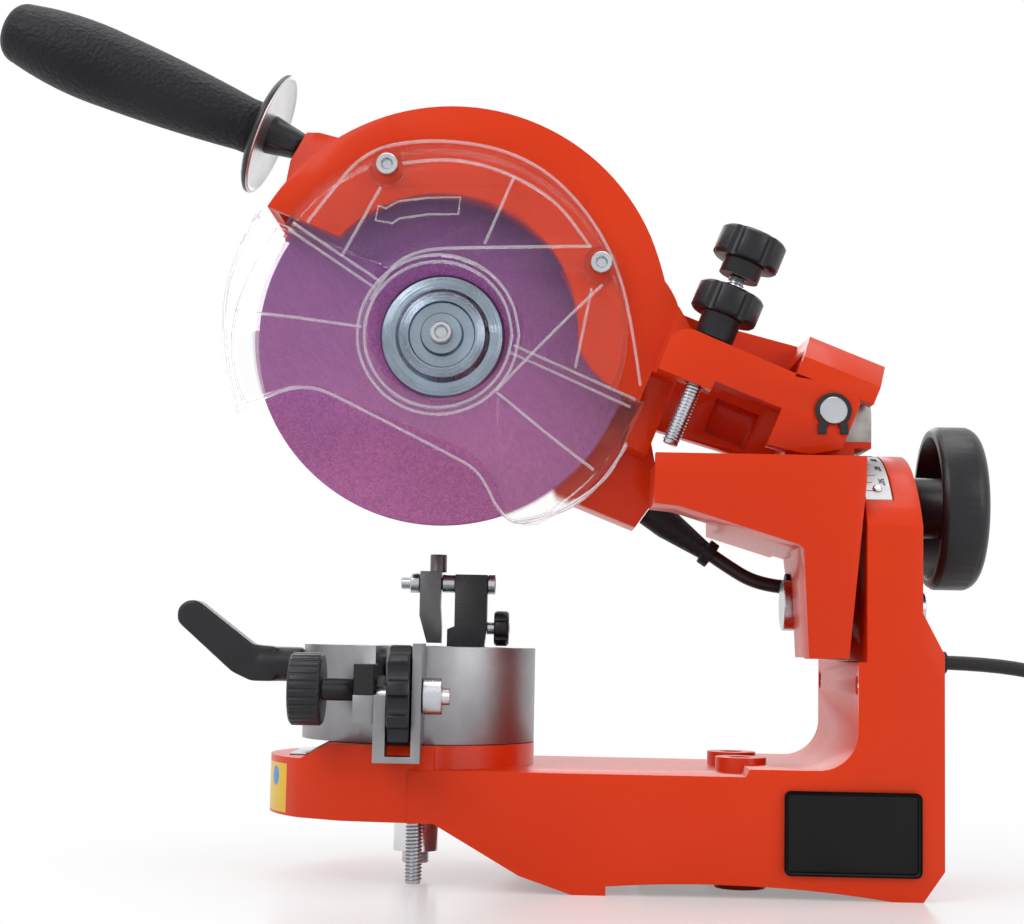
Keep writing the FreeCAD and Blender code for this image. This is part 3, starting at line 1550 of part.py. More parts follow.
def make_guards():
    s = size
    over = s.cut_overrun
    front = -s.guard_front
    plate = front + s.guard_plate
    split_gap = s.guard_split_gap / 2
    rib = s.guard_rib_width
    # Upper guard: a shallow cap screwed to the shroud's front plate.
    radius = s.upper_guard_radius
    left_level = -s.guard_split_left + split_gap
    right_level = -s.guard_split_right + split_gap

    def rim_x(level, reach, side):
        drop = level - hub_z
        return hub_x + side * root(reach * reach - drop * drop)

    rim_back = -s.shroud_near - s.seat_gap
    upper = new_body("UpperGuard")
    ring_left = hub_x - s.guard_ring_radius
    ring_right = hub_x + s.guard_ring_radius

    def half_plate(reach):
        return [
            (rim_x(left_level, reach, -1), left_level),
            Bend(hub_x, hub_z + reach),
            (rim_x(right_level, reach, 1), right_level),
            (ring_right, right_level),
            (ring_right - over, hub_z + s.guard_opening_radius * HALF),
            Bend(hub_x, hub_z + s.guard_opening_radius),
            (ring_left + over * 2, hub_z + s.guard_opening_radius * HALF),
            (ring_left, left_level),
        ]

    pad(upper, "XZ", front, rim_back, half_plate(radius))
    pocket(upper, "XZ", plate, rim_back + over, Ring(hub_x, hub_z, radius - s.guard_wall))
    for screw_x, screw_z in guard_screw_places():
        pad(upper, "XZ", front - s.guard_rib_height / 2, rim_back,
            Ring(screw_x, screw_z, s.guard_boss_radius))
    for screw_x, screw_z in guard_screw_places():
        pocket(upper, "XZ", front - over, rim_back + over,
               Ring(screw_x, screw_z, s.guard_screw_radius + s.seat_gap))
    stand_on_head(upper, 0, 0, 0)
    node("upper_guard", upper)
    # Lower guard: deeper, with walls that go round the wheel at both ends.
    radius = s.lower_guard_radius
    left_level = -s.guard_split_left - split_gap
    right_level = -s.guard_split_right - split_gap
    lower = new_body("LowerGuard")
    corner_drop = s.guard_lobe_depth
    left_corner = -s.guard_lobe_left
    right_corner = -s.guard_lobe_right
    outline = [
        (rim_x(left_level, radius, -1), left_level),
        Bend(hub_x - radius * GUARD_LEFT_REACH, hub_z - radius * GUARD_LEFT_DROP),
        (rim_x(-corner_drop + s.guard_wall, radius, -1), -corner_drop + s.guard_wall),
        (left_corner, -corner_drop),
        (left_corner + s.guard_wall, -corner_drop + s.guard_wall),
        Bend(-s.guard_notch_left - s.guard_wall * 3, -s.guard_bottom - s.guard_wall * 2),
        (-s.guard_notch_left + s.guard_wall * 2, -s.guard_bottom + s.guard_plate / 2),
        (-s.guard_notch_right - s.guard_wall * 2, -s.guard_bottom),
        Bend(-s.guard_notch_right + s.guard_wall * 5, -s.guard_bottom - s.guard_wall * 3),
        (right_corner - s.guard_wall * 2, -corner_drop + s.guard_wall),
        (right_corner, -corner_drop),
        (rim_x(-corner_drop + s.guard_wall * 2, radius, 1), -corner_drop + s.guard_wall * 2),
        Bend(hub_x + radius * GUARD_RIGHT_REACH, hub_z - radius * GUARD_RIGHT_DROP),
        (rim_x(right_level, radius, 1), right_level),
        (ring_right, right_level),
        (ring_right - over, hub_z - s.guard_opening_radius * HALF),
        Bend(hub_x, hub_z - s.guard_opening_radius),
        (ring_left + over * 2, hub_z - s.guard_opening_radius * HALF),
        (ring_left, left_level),
    ]
    wall_back = front + s.guard_depth
    pad(lower, "XZ", front, wall_back, outline)
    pocket(lower, "XZ", plate, wall_back + over, Ring(hub_x, hub_z, radius - s.guard_wall))
    # The ring round the hub opening stands out in front of the plate.
    drop = s.guard_plate
    near_hub = s.guard_opening_radius + s.seat_gap
    outer_run = root(s.guard_ring_radius * s.guard_ring_radius - drop * drop)
    inner_run = root(near_hub * near_hub - drop * drop)
    pad(lower, "XZ", front - s.guard_ring_height, front + s.guard_plate / 2, [
        (hub_x + outer_run, hub_z - drop),
        Bend(hub_x, hub_z - s.guard_ring_radius),
        (hub_x - outer_run, hub_z - drop),
        (hub_x - inner_run, hub_z - drop),
        Bend(hub_x, hub_z - near_hub),
        (hub_x + inner_run, hub_z - drop),
    ])
    # Twin ribs along each split line stiffen the edge.
    for level, from_x, to_x in (
        (left_level, rim_x(left_level, radius, -1) + rib, ring_left - rib),
        (right_level, ring_right + rib, rim_x(right_level, radius, 1) - rib),
    ):
        pad(lower, "XZ", front - s.guard_rib_height, front + s.guard_plate / 2, [
            (from_x, level - s.seat_gap),
            (from_x, level - s.seat_gap - rib),
            (to_x, level - s.seat_gap - rib),
            (to_x, level - s.seat_gap),
        ])
    stand_on_head(lower, 0, 0, 0)
    node("lower_guard", lower)
    screws = []
    for screw_x, screw_z in guard_screw_places():
        head = front - s.guard_rib_height / 2 - s.shaft_clearance
        reach = -s.shroud_near + s.shroud_wall - head - s.seat_gap
        screw = turned("GuardScrew", [
            (zero, -s.guard_screw_head_height / 2),
            (s.guard_screw_head_radius * HALF, -s.guard_screw_head_height / 2),
            (s.guard_screw_head_radius * HALF, -s.guard_screw_head_height),
            (s.guard_screw_head_radius, -s.guard_screw_head_height),
            (s.guard_screw_head_radius, zero),
            (s.guard_screw_radius, zero),
            (s.guard_screw_radius, reach),
            (zero, reach),
        ])
        stand_on_head(screw, screw_x, head, screw_z, "Y")
        screws.append(screw)
    node("guard_screws", grouped("GuardScrews", *screws))


def make_motor():
    s = size
    seat = s.shroud_far + s.shaft_clearance
    wall = s.motor_wall
    length = s.motor_length
    clear = s.shaft_clearance
    bearing_bore = s.bearing_radius
    can = turned("MotorCan", [
        (bearing_bore, zero),
        (s.motor_radius, zero),
        (s.motor_radius, length),
        (s.motor_radius - wall, length),
        (s.motor_radius - wall, s.bearing_width + wall),
        (bearing_bore - wall, s.bearing_width + wall),
        (bearing_bore - wall, s.bearing_width + clear),
        (bearing_bore, s.bearing_width + clear),
    ])
    stand_on_head(can, hub_x, seat, hub_z, "Y")
    node("motor_housing", can)
    cap_length = s.motor_cap_length
    cap_face = seat + length + clear
    cap = turned("MotorCap", [
        (bearing_bore, zero),
        (s.motor_radius, zero),
        (s.motor_radius, cap_length - s.motor_cap_round),
        Bend(s.motor_radius - s.motor_cap_round * ROUND_MIDDLE, cap_length - s.motor_cap_round * ROUND_MIDDLE),
        (s.motor_radius - s.motor_cap_round, cap_length),
        (zero, cap_length),
        (zero, s.bearing_width + wall / 4),
        (bearing_bore, s.bearing_width + wall / 4),
    ])
    stand_on_head(cap, hub_x, cap_face, hub_z, "Y")
    node("motor_end_cap", cap)
    bearings = []
    for start in (seat + clear, cap_face):
        bearing = turned("Bearing", [
            (s.shaft_radius + clear, zero),
            (bearing_bore - clear / 5, zero),
            (bearing_bore - clear / 5, s.bearing_width),
            (s.shaft_radius + clear, s.bearing_width),
        ])
        stand_on_head(bearing, hub_x, start, hub_z, "Y")
        bearings.append(bearing)
    node("motor_bearings", grouped("Bearings", *bearings))
    stator = turned("Stator", [
        (s.stator_bore_radius, zero),
        (s.stator_radius, zero),
        (s.stator_radius, s.core_length),
        (s.stator_bore_radius, s.core_length),
    ])
    stand_on_head(stator, hub_x, seat + s.core_offset, hub_z, "Y")
    node("motor_stator", stator)
    rotor = turned("Rotor", [
        (s.shaft_radius, zero),
        (s.rotor_radius, zero),
        (s.rotor_radius, s.core_length),
        (s.shaft_radius, s.core_length),
    ])
    stand_on_head(rotor, hub_x, seat + s.core_offset, hub_z, "Y")
    node("motor_rotor", rotor)
    return seat, cap_face


def make_spindle(cap_face):
    s = size
    half = s.wheel_thickness / 2
    clear = s.shaft_clearance
    flange = s.flange_thickness
    tail = cap_face + s.bearing_width - clear
    nose = half + flange
    thread = s.spindle_screw_radius * THREE_FIFTHS
    shaft = turned("Shaft", [
        (thread, zero),
        (s.shaft_radius, zero),
        (s.shaft_radius, nose + tail),
        (zero, nose + tail),
        (zero, s.flange_hub_height * 2),
        (thread, s.flange_hub_height * 2),
    ])
    stand_on_head(shaft, hub_x, -nose, hub_z, "Y")
    node("motor_shaft", shaft)
    wheel = turned("Wheel", [
        (s.wheel_bore_radius, zero),
        (s.wheel_radius, zero),
        (s.wheel_radius, s.wheel_thickness),
        (s.wheel_bore_radius, s.wheel_thickness),
    ])
    stand_on_head(wheel, hub_x, -half, hub_z, "Y")
    node("grinding_wheel", wheel)
    inner = turned("InnerFlange", [
        (s.shaft_radius, -s.wheel_thickness + clear),
        (s.wheel_bore_radius - clear, -s.wheel_thickness + clear),
        (s.wheel_bore_radius - clear, zero),
        (s.inner_flange_radius, zero),
        (s.inner_flange_radius, flange),
        (s.wheel_bore_radius, flange),
        (s.wheel_bore_radius, flange * 2),
        (s.shaft_radius, flange * 2),
    ])
    stand_on_head(inner, hub_x, half, hub_z, "Y")
    node("inner_flange", inner)
    outer = turned("OuterFlange", [
        (s.shaft_radius + clear, zero),
        (s.flange_radius, zero),
        (s.flange_radius, flange * THREE_FIFTHS),
        (s.flange_radius - flange * FLANGE_EDGE, flange),
        (s.flange_cone_radius + flange * FLANGE_STEP_ROOT, flange),
        (s.flange_cone_radius, s.flange_step_height),
        (s.flange_step_radius, s.flange_step_height + flange * FLANGE_EDGE),
        (s.flange_step_radius, s.flange_step_height - s.flange_recess),
        (s.flange_hub_radius, s.flange_step_height - s.flange_recess),
        (s.flange_hub_radius, s.flange_hub_height),
        (s.spindle_screw_radius * SCREW_BORE, s.flange_hub_height),
        (s.spindle_screw_radius * SCREW_BORE, flange + clear),
        (s.shaft_radius + clear, flange + clear),
    ])
    stand_on_head(outer, hub_x, -half, hub_z, "-Y")
    node("outer_flange", outer)
    screw = turned("SpindleScrew", [
        (zero, s.spindle_screw_height / 2),
        (s.spindle_socket_radius, s.spindle_screw_height / 2),
        (s.spindle_socket_radius, s.spindle_screw_height),
        (s.spindle_screw_radius, s.spindle_screw_height),
        (s.spindle_screw_radius, clear),
        (thread - clear / 5, clear),
        (thread - clear / 5, -s.flange_hub_height * SCREW_RUN),
        (zero, -s.flange_hub_height * SCREW_RUN),
    ])
    stand_on_head(screw, hub_x, -half - s.flange_hub_height, hub_z, "-Y")
    node("spindle_screw", screw)


def make_motor_lead(entry):
    """The strain relief on the terminal box and the lead into the bracket's leg."""
    s = size
    gap = s.seat_gap
    bore = s.lead_radius + gap / 3
    relief = turned("LeadRelief", [
        (bore, zero),
        (s.relief_root_radius, zero),
        (s.relief_root_radius, s.relief_length * RELIEF_SHOULDER),
        (s.relief_end_radius, s.relief_length - s.relief_collar_run),
        (s.relief_collar_radius, s.relief_length - s.relief_collar_run),
        (s.relief_collar_radius, s.relief_length),
        (bore, s.relief_length),
    ])
    lean = s.relief_angle
    stand_on_head(relief, -s.terminal_right + gap, s.relief_side, -s.relief_drop, "X", lean)
    node("lead_strain_relief", relief)
    tilt = s.relief_angle + s.raise_angle
    start_x, start_z = head_point(-s.terminal_right + gap, -s.relief_drop)
    end = Vector(start_x.value, s.relief_side.value, start_z.value)
    way = Vector(math.cos(math.radians(tilt.value)), 0, -math.sin(math.radians(tilt.value)))
    length = s.relief_length.value
    goal = Vector(entry.value - gap.value, s.lead_entry_side.value, s.lead_entry_height.value)
    inlet = goal + Vector(s.grommet_insert.value / 2, 0, 0)
    route = [
        end + way * (length * LEAD_START),
        end + way * (length * LEAD_STRAIGHT),
        goal - Vector(length * LEAD_ENTRY, 0, 0),
        inlet,
    ]
    lead = doc.addObject("Part::Feature", "MotorLead")
    lead.Shape = tube(route, s.lead_radius.value, "motor_lead")
    node("motor_lead", lead)


def tube(route, radius, name):
    """A round tube along straight runs joined by tangent arcs; prints its arc radii."""
    edges = []
    radii = []
    here = route[0]
    for place in range(1, len(route) - 1):
        before, corner, after = route[place - 1], route[place], route[place + 1]
        come = corner - before
        leave = after - corner
        short_run = min(come.Length, leave.Length)
        turn = come.getAngle(leave)
        arc_radius = BEND_SHARE * short_run / math.tan(turn / 2)
        reach = BEND_SHARE * short_run
        come_way = Vector(come).normalize()
        leave_way = Vector(leave).normalize()
        start = corner - come_way * reach
        finish = corner + leave_way * reach
        inward = Vector(leave_way - come_way).normalize()
        depth = arc_radius / math.cos(turn / 2) - arc_radius
        edges.append(Part.LineSegment(here, start).toShape())
        edges.append(Part.Arc(start, corner + inward * depth, finish).toShape())
        radii.append(arc_radius)
        here = finish
    edges.append(Part.LineSegment(here, route[-1]).toShape())
    wire = Part.Wire(edges)
    way = Vector(route[1] - route[0]).normalize()
    circle = Part.Wire([Part.Circle(route[0], way, radius).toShape()])
    shape = wire.makePipeShell([circle], True, False)
    expected = math.pi * radius * radius * wire.Length
    print(name, "arc radii", [round(item, 1) for item in radii],
          "length", round(wire.Length, 1), "volume ratio", round(shape.Volume / expected, 4))
    return shape


# Depth stop: a long screw with a lobed knob, held by a second lobed knob on the lug.

def lobed_knob(word, radius, low, high, lobe, count, bore, profile_round):
    body = new_body(word)
    sketch = new_sketch(body, "XZ", 0)
    draw(sketch, [[
        (bore, low),
        (radius - profile_round, low),
        (radius, low + profile_round),
        (radius, high - profile_round),
        (radius - profile_round, high),
        (bore, high),
    ]])
    feature = body.newObject("PartDesign::Revolution", new_name("Turn"))
    feature.Profile = sketch
    feature.ReferenceAxis = (sketch, ["V_Axis"])
    feature.Angle = 360
    notch = pocket(body, "XY", low - lobe, high + lobe, Ring(radius + lobe * NOTCH_SHALLOWNESS, 0, lobe))
    ring_copies(body, notch, count)
    return body


def make_depth_stop():
    s = size
    clear = s.thread_clearance
    top = s.stop_knob_top
    knob_low = top - s.stop_knob_thickness
    screw = rod("DepthRod", s.stop_rod_radius, s.stop_rod_end + knob_low + s.stop_knob_hub_run / 2)
    stand_on_head(screw, -s.stop_rod_reach, -s.stop_rod_side, -s.stop_rod_end)
    node("depth_screw", screw)
    bore = s.stop_rod_radius
    knob = lobed_knob("DepthKnob", s.stop_knob_radius, knob_low, top, s.stop_knob_lobe_radius,
                      6, s.stop_rod_radius * HALF, s.stop_knob_lobe_radius / 2)
    pad(knob, "XY", knob_low - s.stop_knob_hub_run, knob_low + s.stop_knob_lobe_radius,
        Ring(0, 0, s.stop_knob_hub_radius))
    pocket(knob, "XY", knob_low - s.stop_knob_hub_run - s.cut_overrun,
           knob_low + s.stop_knob_hub_run / 2, Ring(0, 0, bore + clear / 8))
    stand_on_head(knob, -s.stop_rod_reach, -s.stop_rod_side, 0)
    node("depth_knob", knob)
    lock_top = s.lock_knob_top
    lock_low = lock_top - s.lock_knob_thickness
    lock = lobed_knob("LockKnob", s.stop_knob_radius, lock_low, lock_top,
                      s.stop_knob_lobe_radius, 6, bore + clear, s.stop_knob_lobe_radius / 2)
    pad(lock, "XY", s.lug_top + s.seat_gap, lock_low + s.stop_knob_lobe_radius / 2,
        Ring(0, 0, s.lock_knob_base_radius), Ring(0, 0, bore + clear))
    stand_on_head(lock, -s.stop_rod_reach, -s.stop_rod_side, 0)
    node("depth_lock_knob", lock)


# Chain vise on its turntable.

def vise_rectangle(left, right, low, high):
    return [(vise_x + left, low), (vise_x + right, low), (vise_x + right, high), (vise_x + left, high)]


def make_vise():
    s = size
    gap = s.seat_gap
    over = s.cut_overrun
    line = s.chain_line
    right_face = line + s.chain_gap / 2
    left_face = line - s.chain_gap / 2
    right_back = right_face + s.jaw_thickness
    left_back = left_face - s.jaw_left_thickness
    slot_left = left_back - s.jaw_travel - s.slot_spring_gap
    jaw_low = s.drum_top - s.jaw_depth
    drum = new_body("Drum")
    pad(drum, "XY", s.drum_bottom, s.drum_top, Ring(vise_x, 0, s.drum_radius))
    pocket(drum, "XZ", -s.drum_radius - over, s.drum_radius + over,
           vise_rectangle(slot_left, right_back, jaw_low, s.drum_top + over))
    pad(drum, "XZ", -s.adjuster_side - s.adjuster_shaft_radius * 2, -s.drum_radius + over * 4,
        vise_rectangle(-s.lug_block_left, -s.lug_block_right - gap, s.lug_block_bottom,
                       s.lug_block_top))
    pocket(drum, "YZ", vise_x - s.lug_block_left - over, vise_x - s.lug_block_right + over,
           Ring(-s.adjuster_side, s.adjuster_height, s.adjuster_shaft_radius + s.shaft_clearance))
    pocket(drum, "YZ", vise_x - s.guide_left_inner - gap, vise_x + s.guide_right_inner + gap,
           Ring(-s.roller_side, s.roller_height, s.roller_radius + gap * 2))
    pocket(drum, "XY", s.drum_bottom - over, s.drum_bottom + s.jaw_depth / 3,
           Ring(vise_x, 0, s.turntable_bolt_radius + s.shaft_clearance / 5))
    pocket(drum, "XY", s.drum_bottom - over, s.drum_bottom + s.jaw_depth / 3,
           Ring(vise_x + s.lock_stud_offset, -s.lock_stud_side,
                s.lock_stud_radius + s.shaft_clearance / 5))
    pocket(drum, "YZ", vise_x - s.drum_radius - over, vise_x + slot_left + over,
           Ring(0, s.lever_height, s.lever_pin_radius + s.shaft_clearance))
    node("vise_drum", drum)
    fixed = new_body("FixedJaw")
    inset = s.shaft_clearance
    pad(fixed, "XZ", -s.jaw_near_end, s.jaw_far_end,
        vise_rectangle(right_face, right_back - inset, jaw_low + inset, s.drum_top))
    node("fixed_jaw", fixed)
    moving = new_body("MovingJaw")
    pad(moving, "XZ", -s.jaw_near_end, s.jaw_far_end,
        vise_rectangle(left_back, left_face, jaw_low + gap, s.drum_top))
    node("moving_jaw", moving)
    bolt_low = s.turntable_bolt_end
    bolt = rod("TurntableBolt", s.turntable_bolt_radius,
               s.drum_bottom + s.jaw_depth / 3 - gap - bolt_low)
    stand(bolt, vise_x, 0, bolt_low)
    node("turntable_bolt", bolt)
    stud = rod("LockStud", s.lock_stud_radius,
               s.drum_bottom + s.jaw_depth / 3 - gap - s.lock_stud_bottom)
    stand(stud, vise_x + s.lock_stud_offset, -s.lock_stud_side, s.lock_stud_bottom)
    node("vise_lock_stud", stud)
    # The lever nut under the nose clamps the turntable.
    lever = new_body("LockLever")
    bore = s.turntable_bolt_radius + s.shaft_clearance
    pad(lever, "XY", s.lock_lever_bottom, s.lock_lever_top + gap * 4,
        Ring(0, 0, s.lock_lever_radius + s.lock_arm_radius / 2), Ring(0, 0, bore))
    arm_level = s.lock_lever_bottom + s.lock_arm_radius + gap
    pad(lever, "YZ", bore + gap, s.lock_arm_length, Ring(0, arm_level, s.lock_arm_radius))
    turn = FreeCAD.Rotation(Vector(0, 0, 1), s.lock_arm_angle.value)
    lever.Placement = FreeCAD.Placement(Vector(0, 0, 0), turn)
    move(lever, vise_x, 0, 0)
    node("turntable_lever", lever)


def make_guide():
    """The chain guide on the near end of the vise slot, with its lobed roller."""
    s = size
    gap = s.seat_gap
    clear = s.shaft_clearance
    guide = new_body("Guide")
    near = -s.guide_near
    far = -s.guide_far
    for low, high, top in (
        (-s.guide_left_outer, -s.guide_left_inner, s.guide_left_top),
        (s.guide_right_inner, s.guide_right_outer, s.guide_right_top),
    ):
        pad(guide, "YZ", vise_x + low, vise_x + high, [
            (near, s.guide_bottom),
            (-s.guide_step, s.guide_bottom),
            (-s.guide_step, s.guide_step_height),
            (far, s.guide_step_height),
            (far, top),
            (near, top),
        ])
        if high.value < 0:
            pad(guide, "XZ", near, -s.guide_step,
                vise_rectangle(-s.guide_left_inner - gap, s.guide_right_inner + gap,
                               s.guide_bottom, s.guide_bottom + s.guide_floor))
    pocket(guide, "YZ", vise_x - s.guide_left_outer - s.cut_overrun,
           vise_x + s.guide_right_outer + s.cut_overrun,
           Ring(-s.roller_side, s.roller_height, s.roller_shaft_radius + clear))
    node("guide_bracket", guide)
    shaft = turned("RollerShaft", [
        (zero, zero),
        (s.roller_shaft_radius, zero),
        (s.roller_shaft_radius, s.guide_left_outer + s.guide_right_outer + gap),
        (s.roller_nut_radius, s.guide_left_outer + s.guide_right_outer + gap),
        (s.roller_nut_radius, s.guide_left_outer + s.guide_right_outer + s.roller_nut_run),
        (s.roller_shaft_radius, s.guide_left_outer + s.guide_right_outer + s.roller_nut_run),
        (s.roller_shaft_radius,
         s.guide_left_outer + s.guide_right_outer + s.roller_nut_run + s.roller_stub_run),
        (zero, s.guide_left_outer + s.guide_right_outer + s.roller_nut_run + s.roller_stub_run),
    ])
    stand(shaft, vise_x - s.guide_left_outer, -s.roller_side, s.roller_height, "X")
    node("roller_shaft", shaft)
    roller = lobed_knob("Roller", s.roller_radius, -s.roller_width / 2, s.roller_width / 2,
                        s.roller_lobe_radius, 9, s.roller_shaft_radius + clear, gap * 2)
    middle = (s.guide_right_inner - s.guide_left_inner) / 2
    stand(roller, vise_x + middle, -s.roller_side, s.roller_height, "X")
    node("guide_roller", roller)
    block = new_body("ScrewBlock")
    block_near = -s.adjuster_side - s.adjuster_shaft_radius * BLOCK_MARGIN
    pad(block, "XZ", block_near, -s.adjuster_side + s.adjuster_shaft_radius * 2,
        vise_rectangle(-s.lug_block_left, -s.lug_block_right - gap, s.lug_block_top + clear,
                       s.screw_block_top))
    pocket(block, "YZ", vise_x - s.lug_block_left - s.cut_overrun,
           vise_x - s.lug_block_right + s.cut_overrun,
           Ring(-s.adjuster_side, s.adjuster_height, s.adjuster_shaft_radius + clear))
    node("adjuster_block", block)
    left = s.adjuster_knob_left
    knob = lobed_knob("AdjusterKnob", s.adjuster_knob_radius, zero, s.adjuster_knob_thickness,
                      gap * 2, KNURL_COUNT, s.adjuster_shaft_radius * HALF, gap * 3)
    pad(knob, "XY", s.adjuster_knob_thickness - gap, left - s.lug_block_right - 2 * gap,
        Ring(0, 0, s.adjuster_shaft_radius))
    pad(knob, "XY", gap, s.adjuster_knob_thickness, Ring(0, 0, s.adjuster_shaft_radius))
    stand(knob, vise_x - left, -s.adjuster_side, s.adjuster_height, "X")
    node("adjuster_knob", knob)


def make_clamp_lever():
    s = size
    gap = s.seat_gap
    root_x = s.lever_root
    lever = new_body("ClampLever")
    # The lever turns about its root; its arm leans out and up to a rounded tip.
    pad(lever, "YZ", -root_x, -s.drum_radius - gap, Ring(0, 0, s.lever_radius))
    pad(lever, "YZ", -s.drum_radius - gap * 2, -s.drum_radius + s.lever_pin_insert,
        Ring(0, 0, s.lever_pin_radius))
    pad(lever, "XZ", -s.lever_tip_radius, s.lever_tip_radius, [
        (-root_x + s.lever_radius, -s.lever_radius),
        (-root_x + s.lever_radius, s.lever_radius),
        (-root_x - s.lever_radius * LEVER_NECK, s.lever_radius * LEVER_SHOULDER),
        (-s.lever_tip_reach + s.lever_tip_radius * TIP_TOP_REACH, s.lever_tip_rise + s.lever_tip_radius * THREE_FIFTHS),
        Bend(-s.lever_tip_reach - s.lever_tip_radius * TIP_END_REACH, s.lever_tip_rise + s.lever_tip_radius * TIP_END_RISE),
        (-s.lever_tip_reach - s.lever_tip_radius * THREE_FIFTHS, s.lever_tip_rise - s.lever_tip_radius * FOUR_FIFTHS),
        (-root_x - s.lever_radius * LEVER_UNDER_REACH, -s.lever_radius * HALF),
        (-root_x - s.lever_radius * LEVER_HEEL, -s.lever_radius),
    ])
    stand(lever, vise_x, 0, s.lever_height)
    node("clamp_lever", lever)


def make_chain_stop():
    s = size
    gap = s.seat_gap
    clear = s.shaft_clearance
    side = s.stop_side
    half = s.stop_block_width / 2
    block = new_body("StopBlock")
    pad(block, "XZ", side - half, side + half, [
        (vise_x + s.stop_block_foot_left, s.drum_top),
        (vise_x + s.stop_block_right - gap * 3, s.drum_top),
        (vise_x + s.stop_block_right, s.stop_block_split),
        (vise_x + s.stop_block_right, s.stop_block_top),
        (vise_x + s.stop_block_left, s.stop_block_top),
        (vise_x + s.stop_block_left, s.stop_block_split),
        (vise_x + s.stop_block_foot_left, s.stop_block_split - gap * 4),
    ])
    pocket(block, "YZ", vise_x + s.stop_block_foot_left - s.cut_overrun,
           vise_x + s.stop_block_right + s.cut_overrun,
           Ring(side, s.stop_bolt_height, s.stop_bolt_radius + clear / 5))
    node("stop_block", block)
    start = s.stop_bolt_left
    bolt = turned("StopBolt", [
        (zero, zero),
        (s.stop_bolt_radius, zero),
        (s.stop_bolt_radius, s.stop_block_right - start + clear),
        (s.stop_nut_radius, s.stop_block_right - start + clear),
        (s.stop_nut_radius, s.stop_head_right - start),
        (zero, s.stop_head_right - start),
    ])
    stand(bolt, vise_x + start, side, s.stop_bolt_height, "X")
    node("stop_bolt", bolt)
    node("stop_nut_and_spacer", hardware_on_bolt(side))
    pawl = new_body("Pawl")
    pad(pawl, "XZ", side - s.pawl_width / 2, side + s.pawl_width / 2, [
        (vise_x + s.pawl_tip_left, s.pawl_tip_bottom),
        (vise_x + s.pawl_right + gap, s.pawl_tip_bottom),
        (vise_x + s.pawl_right + gap, s.stop_block_split),
        (vise_x + s.pawl_right - gap, s.stop_block_split + s.stop_nut_radius * 2),
        (vise_x + s.pawl_right, s.pawl_top),
        (vise_x + s.pawl_left, s.pawl_top),
        (vise_x + s.pawl_left, s.stop_block_split + s.stop_nut_radius),
    ])
    pad(pawl, "XY", s.pawl_top - gap, s.pawl_handle_top,
        Ring(vise_x + s.pawl_handle_reach, side, s.pawl_handle_radius))
    pocket(pawl, "YZ", vise_x + s.pawl_left - s.cut_overrun, vise_x + s.pawl_right + s.cut_overrun,
           Ring(side, s.stop_bolt_height, s.stop_bolt_radius + clear))
    node("stop_pawl", pawl)
    knob = lobed_knob("StarKnob", s.star_knob_radius, s.star_washer_thickness,
                      s.star_knob_thickness, gap * 4, 6, s.stop_bolt_radius + clear, gap * 3)
    stand(knob, vise_x + s.star_knob_left, side, s.star_knob_height, "X")
    node("stop_knob", knob)
    stem = turned("StopStem", [
        (zero, -s.star_knob_left + s.stop_block_right),
        (s.stop_bolt_radius, -s.star_knob_left + s.stop_block_right),
        (s.stop_bolt_radius, s.star_knob_thickness + gap),
        (zero, s.star_knob_thickness + gap),
    ])
    stand(stem, vise_x + s.star_knob_left, side, s.star_knob_height, "X")
    node("stop_stem", stem)


def hardware_on_bolt(side):
    """The nut outside the pawl and the spacer between the pawl and the block."""
    s = size
    gap = s.seat_gap
    clear = s.shaft_clearance
    nut = new_body("StopNut")
    pad(nut, "XY", 0, s.stop_nut_right - s.stop_nut_left,
        hexagon(zero, zero, s.stop_nut_radius), Ring(0, 0, s.stop_bolt_radius + clear / 5))
    stand(nut, vise_x + s.stop_nut_left, side, s.stop_bolt_height, "X")
    spacer = new_body("StopSpacer")
    pad(spacer, "XY", 0, s.stop_block_left - s.pawl_right - gap * 4 / 3,
        Ring(0, 0, s.stop_spacer_radius), Ring(0, 0, s.stop_bolt_radius + clear / 5))
    stand(spacer, vise_x + s.pawl_right + gap, side, s.stop_bolt_height, "X")
    return grouped("StopHardware", nut, spacer)


# Mains cord: gland, free stretch, put-away coil and plug.

CORD_ROUTE = [
    (84.2, 25.0, 82.8),
    (108.0, 25.0, 82.4),
    (134.0, 25.6, 76.0),
    (158.0, 27.0, 61.0),
    (178.0, 29.0, 40.0),
    (198.0, 32.0, 19.0),
    (222.0, 38.0, 5.6),
    (246.0, 47.0, 3.1),
    (260.5, 63.2, 3.1),
]


def make_cord():
    s = size
    gland = turned("Gland", [
        (s.cord_radius + s.seat_gap / 3, -s.gland_insert + s.seat_gap),
        (s.gland_radius - 3 * s.seat_gap, -s.gland_insert + s.seat_gap),
        (s.gland_radius - 3 * s.seat_gap, s.seat_gap / 3),
        (s.gland_radius, s.seat_gap / 3),
        (s.gland_radius, s.gland_insert / 3),
        (s.gland_end_radius, s.gland_length),
        (s.cord_radius + s.seat_gap / 3, s.gland_length),
    ])
    stand(gland, s.post_back_low, s.cord_side, s.cord_height, "X")
    node("cord_gland", gland)
    route = [Vector(*point) for point in CORD_ROUTE]
    cord = doc.addObject("Part::Feature", "MainsCord")
    cord.Shape = tube(route, s.cord_radius.value, "mains_cord")
    node("mains_cord", cord)


